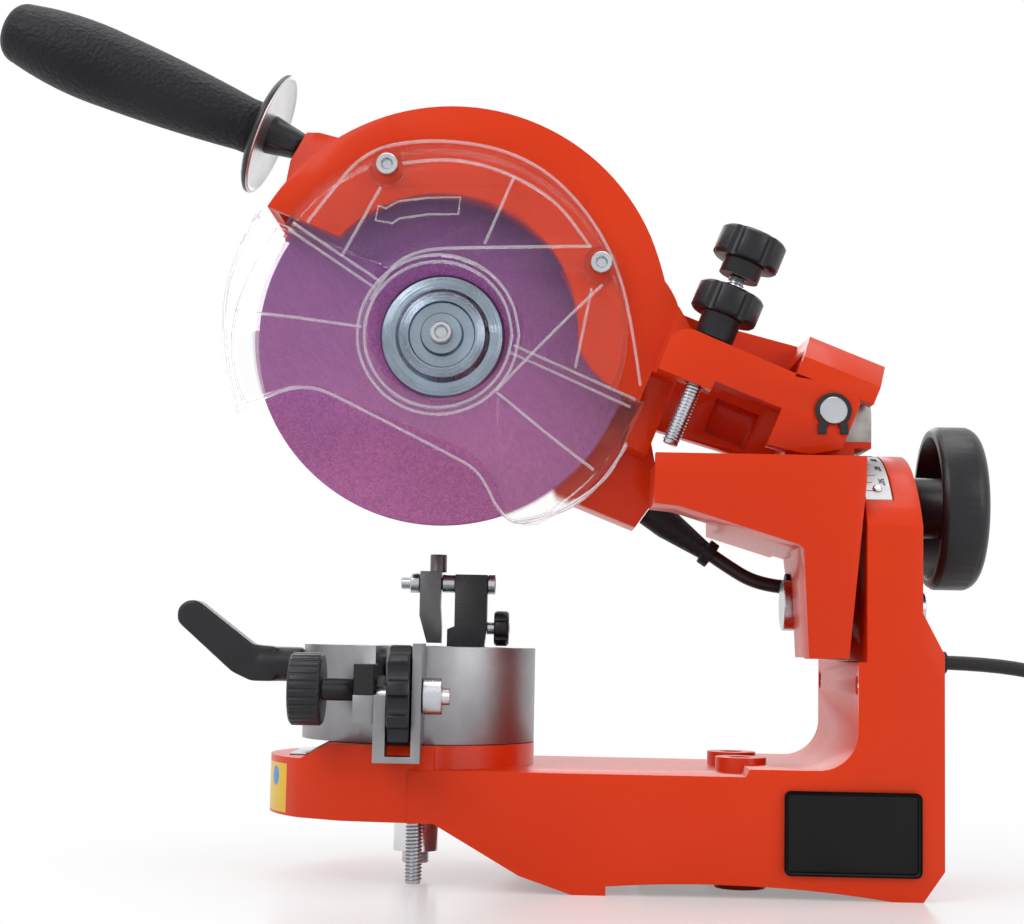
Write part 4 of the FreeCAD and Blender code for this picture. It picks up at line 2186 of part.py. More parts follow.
def make_plug_and_coil():
    s = size
    wide = s.coil_half_width
    coil = turned("Coil", [
        (s.coil_radius - wide, s.cord_radius),
        (s.coil_radius - wide + s.cord_radius, zero),
        (s.coil_radius + wide - s.cord_radius, zero),
        (s.coil_radius + wide, s.cord_radius),
        (s.coil_radius + wide, s.coil_layers_height - s.cord_radius),
        (s.coil_radius + wide - s.cord_radius, s.coil_layers_height),
        (s.coil_radius - wide + s.cord_radius, s.coil_layers_height),
        (s.coil_radius - wide, s.coil_layers_height - s.cord_radius),
    ])
    stand(coil, s.coil_centre_reach, s.coil_centre_side + s.coil_half_width, 0)
    node("cord_coil", coil)
    plug = turned("Plug", [
        (zero, zero),
        (s.plug_radius * PLUG_FACE, zero),
        (s.plug_radius, s.cord_radius),
        (s.plug_radius, s.plug_height * PLUG_WAIST),
        (s.plug_radius * THREE_FIFTHS, s.plug_height),
        (s.plug_neck_radius, s.plug_height),
        (s.plug_neck_radius * FOUR_FIFTHS, s.plug_height + s.plug_neck_length),
        (zero, s.plug_height + s.plug_neck_length),
    ])
    for side in (-1, 1):
        pad(plug, "XY", -s.plug_pin_length, s.cord_radius,
            Ring(side * s.plug_pin_spacing / 2, 0, s.plug_pin_radius))
    coil_edge = s.coil_centre_reach + s.coil_radius + s.coil_half_width
    stand(plug, coil_edge + s.plug_height + s.plug_neck_length + s.shaft_clearance,
          s.coil_centre_side + s.coil_half_width, s.plug_radius, "-X")
    node("mains_plug", plug)


make_base()
make_post_trim()
make_switch()
make_bracket()
lead_entry = make_tilt_hardware()
make_head()
make_hinge()
make_handle()
make_guards()
motor_seat, motor_cap_face = make_motor()
make_spindle(motor_cap_face)
make_motor_lead(lead_entry)
make_depth_stop()
make_vise()
make_guide()
make_clamp_lever()
make_chain_stop()
make_cord()
make_plug_and_coil()

doc.recompute()
faults = []
for item in doc.Objects:
    if "Invalid" in item.State or "Error" in item.State:
        faults.append(f"{item.Name} is {item.State}")
for name, target in nodes.items():
    shape = target.Shape
    if shape.isNull() or not shape.isValid():
        faults.append(f"{name} has no valid shape")
    elif not shape.Solids:
        faults.append(f"{name} has no solid")
if faults:
    raise RuntimeError("; ".join(faults))

os.makedirs("parts", exist_ok=True)
for name, target in nodes.items():
    shape = target.Shape
    box = shape.BoundBox
    print(f"{name:22s} solids {len(shape.Solids)} volume {shape.Volume:10.1f}"
          f" x {box.XMin:7.1f} {box.XMax:7.1f} y {box.YMin:7.1f} {box.YMax:7.1f}"
          f" z {box.ZMin:7.1f} {box.ZMax:7.1f}")
    shape.exportStep(f"parts/{name}.step")
print(len(nodes), "nodes")
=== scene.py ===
import json
import math

import bpy
from mathutils import Matrix, Vector


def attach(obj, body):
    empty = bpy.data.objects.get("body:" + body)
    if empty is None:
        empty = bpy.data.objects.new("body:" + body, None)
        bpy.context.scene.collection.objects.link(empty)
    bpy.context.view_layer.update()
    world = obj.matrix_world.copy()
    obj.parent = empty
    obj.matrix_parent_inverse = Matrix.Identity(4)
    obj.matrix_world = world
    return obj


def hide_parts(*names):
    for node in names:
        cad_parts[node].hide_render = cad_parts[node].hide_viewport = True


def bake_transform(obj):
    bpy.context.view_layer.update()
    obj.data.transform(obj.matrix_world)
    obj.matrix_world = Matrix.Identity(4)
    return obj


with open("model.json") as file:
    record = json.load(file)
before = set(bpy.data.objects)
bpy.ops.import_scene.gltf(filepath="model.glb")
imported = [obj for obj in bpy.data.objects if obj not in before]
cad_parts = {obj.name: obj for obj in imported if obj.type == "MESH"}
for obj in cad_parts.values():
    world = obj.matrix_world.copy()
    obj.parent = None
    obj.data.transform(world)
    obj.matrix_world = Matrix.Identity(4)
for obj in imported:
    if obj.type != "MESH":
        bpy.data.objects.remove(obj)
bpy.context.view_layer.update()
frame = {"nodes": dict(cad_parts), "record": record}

nodes = frame["nodes"]
bodyOf = {}
for body, group in frame["record"]["behaviour"]["bodies"].items():
    bodyOf.update({name: body for name in group})
print("frame loaded,", len(nodes), "nodes")

raiseAngle = math.radians(21.5)
hingePlace = Vector((0.031, 0.0, 0.1739))
headUp = Vector((math.sin(raiseAngle), 0, math.cos(raiseAngle)))
headAlong = Vector((math.cos(raiseAngle), 0, -math.sin(raiseAngle)))
spindlePlace = (-0.11415, 0, 0.20378)
viseAxis = (-0.120, 0, 0)
tiltAxisHeight = 0.1033

# camera, placed from the photograph's perspective
cameraSetup = {
    "place": (-0.0727, -0.725, 0.0885),
    "forward": (-0.01907, 0.99549, 0.09292),
    "right": (0.99967, 0.01729, 0.01991),
    "lens": 66.8,
}


def makeCamera():
    bpy.ops.object.camera_add()
    camera = bpy.context.object
    forward = Vector(cameraSetup["forward"]).normalized()
    right = Vector(cameraSetup["right"]).normalized()
    up = right.cross(forward).normalized()
    turn = Matrix((right, up, -forward)).transposed().to_4x4()
    camera.matrix_world = Matrix.Translation(cameraSetup["place"]) @ turn
    camera.data.lens = cameraSetup["lens"]
    camera.data.sensor_width = 36
    camera.data.clip_start = 0.01
    bpy.context.scene.camera = camera


makeCamera()


# material helpers

def newMaterial(name):
    material = bpy.data.materials.new(name)
    material.use_nodes = True
    shader = material.node_tree.nodes["Principled BSDF"]
    return material, shader


def addNode(material, kind, **sockets):
    node = material.node_tree.nodes.new(kind)
    for socket, value in sockets.items():
        node.inputs[socket.replace("_", " ")].default_value = value
    return node


def link(material, fromSocket, toSocket):
    material.node_tree.links.new(fromSocket, toSocket)


def placeSocket(material):
    return addNode(material, "ShaderNodeTexCoord").outputs["Object"]


def movedPlace(material, centre):
    # the surface's place, measured from a centre
    shift = addNode(material, "ShaderNodeMapping", Location=[-value for value in centre])
    link(material, placeSocket(material), shift.inputs["Vector"])
    return shift.outputs["Vector"]


def noiseOf(material, scale, detail=3.0, roughness=0.5, stretch=None):
    noise = addNode(material, "ShaderNodeTexNoise", Scale=scale, Detail=detail, Roughness=roughness)
    source = placeSocket(material)
    if stretch:
        mapping = addNode(material, "ShaderNodeMapping", Scale=stretch)
        link(material, source, mapping.inputs["Vector"])
        source = mapping.outputs["Vector"]
    link(material, source, noise.inputs["Vector"])
    return noise


def bumpFrom(material, shader, height, strength, distance, under=None):
    bump = addNode(material, "ShaderNodeBump", Strength=strength, Distance=distance)
    link(material, height, bump.inputs["Height"])
    if under:
        link(material, under.outputs["Normal"], bump.inputs["Normal"])
    link(material, bump.outputs["Normal"], shader.inputs["Normal"])
    return bump


def mixColours(material, factor, first, second, low=0.35, high=0.65):
    ramp = addNode(material, "ShaderNodeValToRGB")
    ramp.color_ramp.elements[0].position = low
    ramp.color_ramp.elements[1].position = high
    ramp.color_ramp.elements[0].color = (*first, 1)
    ramp.color_ramp.elements[1].color = (*second, 1)
    link(material, factor, ramp.inputs["Fac"])
    return ramp.outputs["Color"]


def colourFrom(material, shader, noise, first, second):
    colour = mixColours(material, noise.outputs["Fac"], first, second)
    link(material, colour, shader.inputs["Base Color"])


def rangeOf(material, value, low, high, fromLow=0.0, fromHigh=1.0):
    spread = addNode(material, "ShaderNodeMapRange", From_Min=fromLow, From_Max=fromHigh,
                     To_Min=low, To_Max=high)
    link(material, value, spread.inputs["Value"])
    return spread.outputs["Result"]


def vectorStep(material, operation, source, amount=None):
    step = addNode(material, "ShaderNodeVectorMath")
    step.operation = operation
    link(material, source, step.inputs[0])
    if amount is not None:
        step.inputs[1].default_value = amount
    return step.outputs["Value" if operation in ("DOT_PRODUCT", "LENGTH") else "Vector"]


def numberStep(material, operation, first, second=None):
    step = addNode(material, "ShaderNodeMath")
    step.operation = operation
    for place, value in enumerate((first, second)):
        if isinstance(value, (int, float)):
            step.inputs[place].default_value = value
        elif value is not None:
            link(material, value, step.inputs[place])
    return step.outputs["Value"]


def splitOf(material, vector):
    split = addNode(material, "ShaderNodeSeparateXYZ")
    link(material, vector, split.inputs[0])
    return split.outputs


def boxMask(material, low, high):
    # 1 inside a box of the frame, else 0
    middle = [(a + b) / 2 for a, b in zip(low, high)]
    half = [(b - a) / 2 for a, b in zip(low, high)]
    away = vectorStep(material, "ABSOLUTE", movedPlace(material, middle))
    parts = splitOf(material, vectorStep(material, "SUBTRACT", away, half))
    most = numberStep(material, "MAXIMUM", parts["X"], parts["Y"])
    most = numberStep(material, "MAXIMUM", most, parts["Z"])
    return numberStep(material, "LESS_THAN", most, 0.0)


def ballMask(material, centre, radius):
    reach = vectorStep(material, "LENGTH", movedPlace(material, centre))
    return numberStep(material, "LESS_THAN", reach, radius)


def mixOver(material, mask, under, colour, blend="MIX"):
    # a colour, or another socket, laid over a socket where the mask is 1
    mix = addNode(material, "ShaderNodeMix")
    mix.data_type = "RGBA"
    mix.blend_type = blend
    if isinstance(mask, float):
        mix.inputs[0].default_value = mask
    else:
        link(material, mask, mix.inputs[0])
    link(material, under, mix.inputs[6])
    if isinstance(colour, tuple):
        mix.inputs[7].default_value = (*colour, 1)
    else:
        link(material, colour, mix.inputs[7])
    return mix.outputs[2]


def paintOver(material, shader, mask, colour):
    under = shader.inputs["Base Color"].links[0].from_socket
    link(material, mixOver(material, mask, under, colour), shader.inputs["Base Color"])


# materials

def orangeEnamel(name="orangeEnamel"):
    material, shader = newMaterial(name)
    shader.inputs["Specular IOR Level"].default_value = 0.14
    shader.inputs["Coat Weight"].default_value = 0.14
    shader.inputs["Coat Roughness"].default_value = 0.10
    tone = noiseOf(material, 9.0)
    colourFrom(material, shader, tone, (0.68, 0.035, 0.002), (0.73, 0.041, 0.003))
    peel = noiseOf(material, 420.0, 2.0)
    link(material, rangeOf(material, peel.outputs["Fac"], 0.28, 0.40), shader.inputs["Roughness"])
    bumpFrom(material, shader, peel.outputs["Fac"], 0.10, 0.0004)
    return material


def noseEnamel():
    # the base's enamel with the plain yellow sticker round the nose
    material = orangeEnamel("noseEnamel")
    shader = material.node_tree.nodes["Principled BSDF"]
    sticker = boxMask(material, (-0.180, -0.042, 0.0245), (-0.1655, -0.004, 0.0420))
    paintOver(material, shader, sticker, (0.80, 0.50, 0.012))
    spot = ballMask(material, (-0.1707, -0.0213, 0.0372), 0.0036)
    paintOver(material, shader, spot, (0.035, 0.24, 0.62))
    return material


def bracketEnamel():
    # the bracket's enamel, machined bare on the hinge boss
    material = orangeEnamel("bracketEnamel")
    shader = material.node_tree.nodes["Principled BSDF"]
    bare = boxMask(material, (0.0335, -0.0222, 0.1640), (0.0480, 0.0128, 0.1900))
    grain = noiseOf(material, 160.0, 4.0)
    cast = mixColours(material, grain.outputs["Fac"], (0.25, 0.235, 0.22), (0.36, 0.34, 0.325))
    paintOver(material, shader, bare, cast)
    link(material, numberStep(material, "MULTIPLY", bare, 0.75), shader.inputs["Metallic"])
    return material


def grainedPlastic(name, colour, roughness, grain=1400.0):
    material, shader = newMaterial(name)
    shader.inputs["Specular IOR Level"].default_value = 0.35
    tone = noiseOf(material, 40.0)
    lighter = tuple(channel * 1.5 + 0.002 for channel in colour)
    colourFrom(material, shader, tone, colour, lighter)
    fine = noiseOf(material, grain, 2.0)
    link(material, rangeOf(material, fine.outputs["Fac"], roughness - 0.08, roughness + 0.1),
         shader.inputs["Roughness"])
    bumpFrom(material, shader, fine.outputs["Fac"], 0.22, 0.0003)
    return material


def gripRubber():
    material, shader = newMaterial("gripRubber")
    shader.inputs["Sheen Weight"].default_value = 0.04
    shader.inputs["Specular IOR Level"].default_value = 0.22
    tone = noiseOf(material, 30.0)
    colourFrom(material, shader, tone, (0.006, 0.006, 0.009), (0.011, 0.011, 0.015))
    pips = addNode(material, "ShaderNodeTexVoronoi", Scale=620.0)
    link(material, placeSocket(material), pips.inputs["Vector"])
    link(material, rangeOf(material, pips.outputs["Distance"], 0.60, 0.44), shader.inputs["Roughness"])
    bumpFrom(material, shader, pips.outputs["Distance"], 0.5, 0.0006)
    return material


def clearPlastic(name="clearPlastic", clearness=1.0, cover=0.55):
    material, shader = newMaterial(name)
    shader.inputs["Transmission Weight"].default_value = clearness
    shader.inputs["IOR"].default_value = 1.40
    shader.inputs["Alpha"].default_value = cover
    shader.inputs["Base Color"].default_value = (0.97, 0.975, 0.985, 1)
    haze = noiseOf(material, 120.0)
    link(material, rangeOf(material, haze.outputs["Fac"], 0.015, 0.05), shader.inputs["Roughness"])
    bumpFrom(material, shader, haze.outputs["Fac"], 0.03, 0.0003)
    return material


def metal(name, colour, roughness, grain=900.0, stretch=(1, 1, 1), strength=0.1):
    material, shader = newMaterial(name)
    shader.inputs["Metallic"].default_value = 1.0
    cloud = noiseOf(material, 60.0)
    darker = tuple(channel * 0.82 for channel in colour)
    colourFrom(material, shader, cloud, darker, colour)
    fine = noiseOf(material, grain, 3.0, 0.6, stretch)
    link(material, rangeOf(material, fine.outputs["Fac"], roughness * 0.8, roughness * 1.3),
         shader.inputs["Roughness"])
    bumpFrom(material, shader, fine.outputs["Fac"], strength, 0.0002)
    return material


def zincFlange():
    # blue zinc plating over turning rings round the spindle
    material = metal("zincFlange", (0.30, 0.36, 0.43), 0.24)
    shader = material.node_tree.nodes["Principled BSDF"]
    rings = addNode(material, "ShaderNodeTexWave", Scale=240.0, Distortion=0.6)
    rings.wave_type = "RINGS"
    rings.rings_direction = "Y"
    link(material, movedPlace(material, spindlePlace), rings.inputs["Vector"])
    bumpFrom(material, shader, rings.outputs["Fac"], 0.16, 0.0002)
    return material


def shieldPlate():
    # a bright plate towards the head, black on its rim and its other side
    material = metal("shieldPlate", (0.70, 0.70, 0.71), 0.30, 700.0, (1, 9, 1), 0.25)
    shader = material.node_tree.nodes["Principled BSDF"]
    facing = addNode(material, "ShaderNodeTexCoord").outputs["Normal"]
    reach = vectorStep(material, "DOT_PRODUCT", facing, tuple(headAlong))
    black = numberStep(material, "LESS_THAN", reach, 0.5)
    paintOver(material, shader, black, (0.012, 0.012, 0.013))
    link(material, numberStep(material, "SUBTRACT", 1.0, black), shader.inputs["Metallic"])
    return material


def printedScale(name, angleOf, reachOf, marks):
    # a bare plate with printed marks, a long one at each second step
    material = metal(name, (0.42, 0.42, 0.43), 0.40, 500.0, (9, 1, 1), 0.15)
    shader = material.node_tree.nodes["Principled BSDF"]
    angle = angleOf(material)
    reach = reachOf(material)
    masks = []
    for step, limit in ((marks["step"], marks["short"]), (marks["step"] * 2, marks["long"])):
        offset = numberStep(material, "SUBTRACT", angle, marks["start"])
        turns = numberStep(material, "DIVIDE", offset, step)
        aside = numberStep(material, "PINGPONG", turns, 0.5)
        width = numberStep(material, "MULTIPLY", aside, step)
        line = numberStep(material, "LESS_THAN", width, marks["half"])
        short = numberStep(material, "LESS_THAN", reach, limit)
        masks.append(numberStep(material, "MULTIPLY", line, short))
    ink = numberStep(material, "MAXIMUM", masks[0], masks[1])
    aside = numberStep(material, "SUBTRACT", angle, marks["middle"])
    within = numberStep(material, "LESS_THAN", numberStep(material, "ABSOLUTE", aside), marks["span"])
    ink = numberStep(material, "MULTIPLY", ink, within)
    paintOver(material, shader, ink, (0.01, 0.01, 0.01))
    link(material, numberStep(material, "SUBTRACT", 1.0, ink), shader.inputs["Metallic"])
    return material


# the marks: angles in degrees, the ends of short and long ones in metres
tiltMarks = {
    "start": 4.0, "step": 5.0, "half": 0.24,
    "short": 0.0449, "long": 0.0466, "middle": 28.0, "span": 17.0,
}
viseMarks = {
    "start": 0.0, "step": 5.0, "half": 0.18,
    "short": -0.0425, "long": -0.0400, "middle": 0.0, "span": 36.0,
}


def tiltAngle(material):
    parts = splitOf(material, placeSocket(material))
    turn = numberStep(material, "ARCTAN2", numberStep(material, "MULTIPLY", parts["Y"], -1.0),
                      numberStep(material, "SUBTRACT", parts["Z"], tiltAxisHeight))
    return numberStep(material, "DEGREES", turn)


def tiltReach(material):
    return splitOf(material, placeSocket(material))["X"]


def viseAngle(material):
    parts = splitOf(material, movedPlace(material, viseAxis))
    back = numberStep(material, "MULTIPLY", parts["X"], -1.0)
    turn = numberStep(material, "ARCTAN2", parts["Y"], back)
    return numberStep(material, "DEGREES", turn)


def viseReach(material):
    flat = vectorStep(material, "MULTIPLY", movedPlace(material, viseAxis), (1, 1, 0))
    return numberStep(material, "MULTIPLY", vectorStep(material, "LENGTH", flat), -1.0)


def abrasiveGrit():
    material, shader = newMaterial("abrasiveGrit")
    shader.inputs["Roughness"].default_value = 0.88
    grains = addNode(material, "ShaderNodeTexVoronoi", Scale=1500.0)
    link(material, placeSocket(material), grains.inputs["Vector"])
    cloud = noiseOf(material, 26.0, 4.0)
    # painted shade and painted reflection: the wheel is made darker and bluer towards its top, under the
    # guard, with random tone from the cloud added to that
    height = splitOf(material, placeSocket(material))["Z"]
    paintedShadeAndTone = numberStep(material, "ADD", rangeOf(material, height, 0.0, 0.7, 0.150, 0.262),
                       rangeOf(material, cloud.outputs["Fac"], -0.1, 0.4))
    shadedGritColour = mixColours(material, paintedShadeAndTone, (0.50, 0.155, 0.37), (0.26, 0.095, 0.34), 0.15, 0.85)
    speck = mixColours(material, grains.outputs["Color"], (0.58, 0.56, 0.60), (1.0, 0.97, 1.0),
                       0.2, 0.8)
    link(material, mixOver(material, 0.7, shadedGritColour, speck, "MULTIPLY"), shader.inputs["Base Color"])
    bumpFrom(material, shader, grains.outputs["Distance"], 0.6, 0.0008)
    return material


finish = {
    "orange_paint": orangeEnamel(),
    "black_plastic": grainedPlastic("blackKnobPlastic", (0.007, 0.007, 0.009), 0.34),
    "black_rubber": gripRubber(),
    "clear_plastic": clearPlastic(),
    "bright_steel": metal("zincSteel", (0.55, 0.57, 0.60), 0.26),
    "turned_steel": metal("turnedSteel", (0.30, 0.30, 0.315), 0.36, 300.0, (1, 1, 14), 0.2),
    "chrome": metal("chromePlate", (0.70, 0.70, 0.72), 0.10),
    "black_steel": grainedPlastic("blackenedSteel", (0.009, 0.009, 0.010), 0.30),
    "abrasive": abrasiveGrit(),
    "cord_rubber": grainedPlastic("cordRubber", (0.010, 0.010, 0.011), 0.42),
    "motor_paint": grainedPlastic("motorPaint", (0.014, 0.014, 0.016), 0.36, 500.0),
    "copper_core": metal("windingCopper", (0.45, 0.22, 0.12), 0.4),
    "bare_plate": metal("barePlate", (0.60, 0.61, 0.63), 0.24),
}

ownFinish = {
    "base_casting": noseEnamel(),
    "tilt_bracket": bracketEnamel(),
    "tilt_pivot_nut": orangeEnamel("paintedNut"),
    "stop_pawl": metal("burntSteel", (0.13, 0.125, 0.13), 0.34),
    "outer_flange": zincFlange(),
    "hand_shield": shieldPlate(),
    "tilt_scale": printedScale("tiltScalePlate", tiltAngle, tiltReach, tiltMarks),
    "vise_scale": printedScale("viseScalePlate", viseAngle, viseReach, viseMarks),
}


def dressNodes():
    slotOf = {part["node"]: part["material_slot"] for part in frame["record"]["subparts"]}
    for name, piece in nodes.items():
        material = ownFinish.get(name, finish[slotOf[name]])
        if not piece.material_slots:
            piece.data.materials.append(material)
        for slot in piece.material_slots:
            slot.material = material


dressNodes()
print("materials made")


# modelling helpers

def deselectAll():
    if bpy.context.object and bpy.context.object.mode != "OBJECT":
        bpy.ops.object.mode_set(mode="OBJECT")
    bpy.ops.object.select_all(action="DESELECT")


def pick(piece):
    deselectAll()
    piece.select_set(True)
    bpy.context.view_layer.objects.active = piece


def applyModifier(piece, modifier):
    pick(piece)
    bpy.ops.object.modifier_apply(modifier=modifier.name)


def settle(piece):
    # bakes the piece's place into its mesh
    pick(piece)
    bpy.ops.object.transform_apply(location=True, rotation=True, scale=True)


def roundEdges(piece, width, segments=2, angle=28):
    bevel = piece.modifiers.new("edges", "BEVEL")
    bevel.width = width
    bevel.segments = segments
    bevel.limit_method = "ANGLE"
    bevel.angle_limit = math.radians(angle)
    bevel.use_clamp_overlap = True
    bevel.harden_normals = False
    applyModifier(piece, bevel)


def smooth(piece, angle=34):
    pick(piece)
    bpy.ops.object.shade_smooth_by_angle(angle=math.radians(angle))


def joinPieces(pieces, name):
    deselectAll()
    for piece in pieces:
        piece.select_set(True)
    bpy.context.view_layer.objects.active = pieces[0]
    if len(pieces) > 1:
        bpy.ops.object.join()
    pieces[0].name = name
    return pieces[0]


def dress(piece, slot, body, material=None):
    piece.data.materials.clear()
    piece.data.materials.append(material or finish[slot])
    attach(piece, body)


def prism(outline, near, far):
    # an outline in x and z, in millimetres, drawn out from near to far along y
    points = [(x / 1000, near, z / 1000) for x, z in outline]
    shape = bpy.data.meshes.new("prism")
    shape.from_pydata(points, [], [tuple(range(len(points)))])
    piece = bpy.data.objects.new("prism", shape)
    bpy.context.collection.objects.link(piece)
    pick(piece)
    bpy.ops.object.mode_set(mode="EDIT")
    bpy.ops.mesh.select_all(action="SELECT")
    bpy.ops.mesh.extrude_region_move(TRANSFORM_OT_translate={"value": (0, far - near, 0)})
    bpy.ops.mesh.select_all(action="SELECT")
    bpy.ops.mesh.normals_make_consistent(inside=False)
    bpy.ops.object.mode_set(mode="OBJECT")
    return piece


def fuse(piece, added):
    union = piece.modifiers.new("fused", "BOOLEAN")
    union.operation = "UNION"
    union.solver = "EXACT"
    union.object = added
    applyModifier(piece, union)
    bpy.data.objects.remove(added)


def meltForm(piece, melt):
    # a moulded form: its edges run into each other
    grid = piece.modifiers.new("grid", "REMESH")
    grid.mode = "VOXEL"
    grid.voxel_size = melt["grid"]
    applyModifier(piece, grid)
    even = piece.modifiers.new("even", "SMOOTH")
    even.factor = melt["factor"]
    even.iterations = melt["passes"]
    applyModifier(piece, even)


def mergeFlat(piece):
    # merges doubles, and the triangles of one flat face
    pick(piece)
    bpy.ops.object.mode_set(mode="EDIT")
    bpy.ops.mesh.select_all(action="SELECT")
    bpy.ops.mesh.remove_doubles(threshold=0.000005)
    bpy.ops.mesh.dissolve_limited(angle_limit=math.radians(1.0))
    bpy.ops.object.mode_set(mode="OBJECT")


def softCopy(name, body, width=0.0003, segments=2, added=(), melt=None):
    # a copy of a CAD node with its edges rounded, standing for the node
    source = nodes[name]
    piece = source.copy()
    piece.data = source.data.copy()
    piece.name = name + "_soft"
    bpy.context.collection.objects.link(piece)
    piece.parent = None
    piece.matrix_world = source.matrix_world
    mergeFlat(piece)
    for outline, near, far in added:
        fuse(piece, prism(outline, near, far))
    if added:
        mergeFlat(piece)
    if melt:
        meltForm(piece, melt)
        smooth(piece, melt["smooth"])
    else:
        roundEdges(piece, width, segments)
        smooth(piece)
    settle(piece)
    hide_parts(name)
    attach(piece, body)
    return piece


# the mains cord: out of the post, down to the bench and into its put-away coil
mainsCord = {
    "diameter": 0.0056,
    "route": [
        (0.0842, 0.0250, 0.0828), (0.1080, 0.0250, 0.0824), (0.1340, 0.0256, 0.0760),
        (0.1580, 0.0270, 0.0610), (0.1780, 0.0290, 0.0400), (0.1980, 0.0320, 0.0190),
        (0.2220, 0.0380, 0.0056), (0.2460, 0.0470, 0.0031),
    ],
    "coilCentre": (0.262, 0.1044),
    "radii": (0.0376, 0.0320, 0.0264),
    "layers": (0.0029, 0.0085, 0.0141),
    "pointsPerTurn": 16,
}

# the motor lead: out of its strain relief and into the bracket's grommet
motorLead = {
    "diameter": 0.0054,
    "route": [
        (-0.03046, 0.0240, 0.13844), (-0.00452, 0.0240, 0.12035),
        (0.01178, 0.0240, 0.1110), (0.02482, 0.0240, 0.1110),
    ],
    "length": 0.0615,
}


def coilPoints(setup):
    # three turns in each layer, worked inwards and outwards by turns
    centreX, centreY = setup["coilCentre"]
    steps = setup["pointsPerTurn"]
    spread = 1 / math.cos(math.pi / steps)
    stops = []
    for layer, height in enumerate(setup["layers"]):
        order = setup["radii"] if layer % 2 == 0 else setup["radii"][::-1]
        stops += [(radius, height) for radius in order]
    points = []
    for turn, (radius, height) in enumerate(stops):
        following = stops[min(turn + 1, len(stops) - 1)]
        for step in range(steps):
            share = max(0.0, (step / steps - 0.7) / 0.3)
            reach = (radius + (following[0] - radius) * share) * spread
            level = height + (following[1] - height) * share
            angle = math.radians(-70) + 2 * math.pi * step / steps
            across = centreX + reach * math.cos(angle)
            away = centreY + reach * math.sin(angle)
            points.append((across, away, level))
    return points


def cordCurve(name, points, diameter):
    curve = bpy.data.curves.new(name, "CURVE")
    curve.dimensions = "3D"
    curve.bevel_depth = diameter / 2
    curve.bevel_resolution = 6
    curve.resolution_u = 6
    curve.use_fill_caps = True
    spline = curve.splines.new("NURBS")
    spline.points.add(len(points) - 1)
    for place, point in enumerate(points):
        spline.points[place].co = (*point, 1)
    spline.order_u = 3
    spline.use_endpoint_u = True
    cord = bpy.data.objects.new(name, curve)
    bpy.context.collection.objects.link(cord)
    curve.materials.append(finish["cord_rubber"])
    return cord


def makeMainsCord(setup):
    cord = cordCurve("mainsLead", setup["route"] + coilPoints(setup), setup["diameter"])
    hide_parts("mains_cord", "cord_coil")
    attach(cord, "base")


def makeMotorLead(setup):
    # a mesh tube along a curved route between the head and the bracket
    lead = cordCurve("motorLead", setup["route"], setup["diameter"])
    lead.data.resolution_u = 16
    lead.data.bevel_depth = 0
    bpy.context.view_layer.update()
    evaluated = lead.evaluated_get(bpy.context.evaluated_depsgraph_get())
    centreline = bpy.data.meshes.new_from_object(evaluated)
    lead.data.bevel_depth = setup["diameter"] / 2
    pick(lead)
    bpy.ops.object.convert(target="MESH")
    lead = bpy.context.object
    lead.name = "motorLead"
    smooth(lead, 60)
    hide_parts("motor_lead")
    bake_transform(lead)


makeMainsCord(mainsCord)
makeMotorLead(motorLead)
print("cords made")


# threaded rods: a core with a ridge wound round it
threadedRods = {
    "depth_screw": {
        "foot": hingePlace + headAlong * -0.0503 + Vector((0, -0.027, 0)) + headUp * -0.0334,
        "direction": headUp, "length": 0.0756, "radius": 0.0033, "pitch": 0.00125,
    },
    "vise_lock_stud": {
        "foot": Vector((-0.1182, -0.0380, 0.0012)),
        "direction": Vector((0, 0, 1)), "length": 0.0571, "radius": 0.0032, "pitch": 0.00125,
    },
}


# the ridge as shares of the pitch, then of its own depth
ridgeShape = {"depth": 0.5, "sink": 0.86, "lift": 0.26, "size": 0.60}


def woundRidge(name, reach, size, corners, pitch, length, steps=24):
    # a small ring of corners wound up the z axis
    bpy.ops.mesh.primitive_circle_add(vertices=corners, radius=size, location=(reach, 0, 0),
                                      rotation=(math.radians(90), 0, 0))
    ridge = bpy.context.object
    ridge.name = name
    if corners == 3:
        ridge.rotation_euler.rotate_axis("Z", math.radians(-90))
    settle(ridge)
    winding = ridge.modifiers.new("winding", "SCREW")
    winding.axis = "Z"
    winding.screw_offset = pitch
    winding.iterations = max(1, int(length / pitch))
    winding.steps = steps
    winding.render_steps = steps
    winding.use_merge_vertices = False
    applyModifier(ridge, winding)
    pick(ridge)
    bpy.ops.object.mode_set(mode="EDIT")
    bpy.ops.mesh.select_all(action="SELECT")
    bpy.ops.mesh.remove_doubles(threshold=0.000001)
    bpy.ops.mesh.select_all(action="DESELECT")
    bpy.ops.mesh.select_non_manifold()
    bpy.ops.mesh.edge_face_add()
    bpy.ops.mesh.select_all(action="SELECT")
    bpy.ops.mesh.normals_make_consistent(inside=False)
    bpy.ops.object.mode_set(mode="OBJECT")
    return ridge


def makeThreadedRod(node, setup):
    radius, pitch, length = setup["radius"], setup["pitch"], setup["length"]
    depth = pitch * ridgeShape["depth"]
    core = radius - depth * ridgeShape["sink"]
    reach = core + depth * ridgeShape["lift"]
    size = depth * ridgeShape["size"]
    ridge = woundRidge(node + "Ridge", reach, size, 3, pitch, length - pitch * 2)
    ridge.location = (0, 0, pitch)
    settle(ridge)
    bpy.ops.mesh.primitive_cylinder_add(vertices=40, radius=core, depth=length,
                                        location=(0, 0, length / 2))
    rod = bpy.context.object
    settle(rod)
    roundEdges(rod, 0.0004, 2, 50)
    piece = joinPieces([rod, ridge], node + "Thread")
    turn = setup["direction"].to_track_quat("Z", "Y").to_matrix().to_4x4()
    piece.matrix_world = Matrix.Translation(setup["foot"]) @ turn
    settle(piece)
    smooth(piece, 40)
    dress(piece, "bright_steel", bodyOf[node])
    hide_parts(node)


for node, setup in threadedRods.items():
    makeThreadedRod(node, setup)

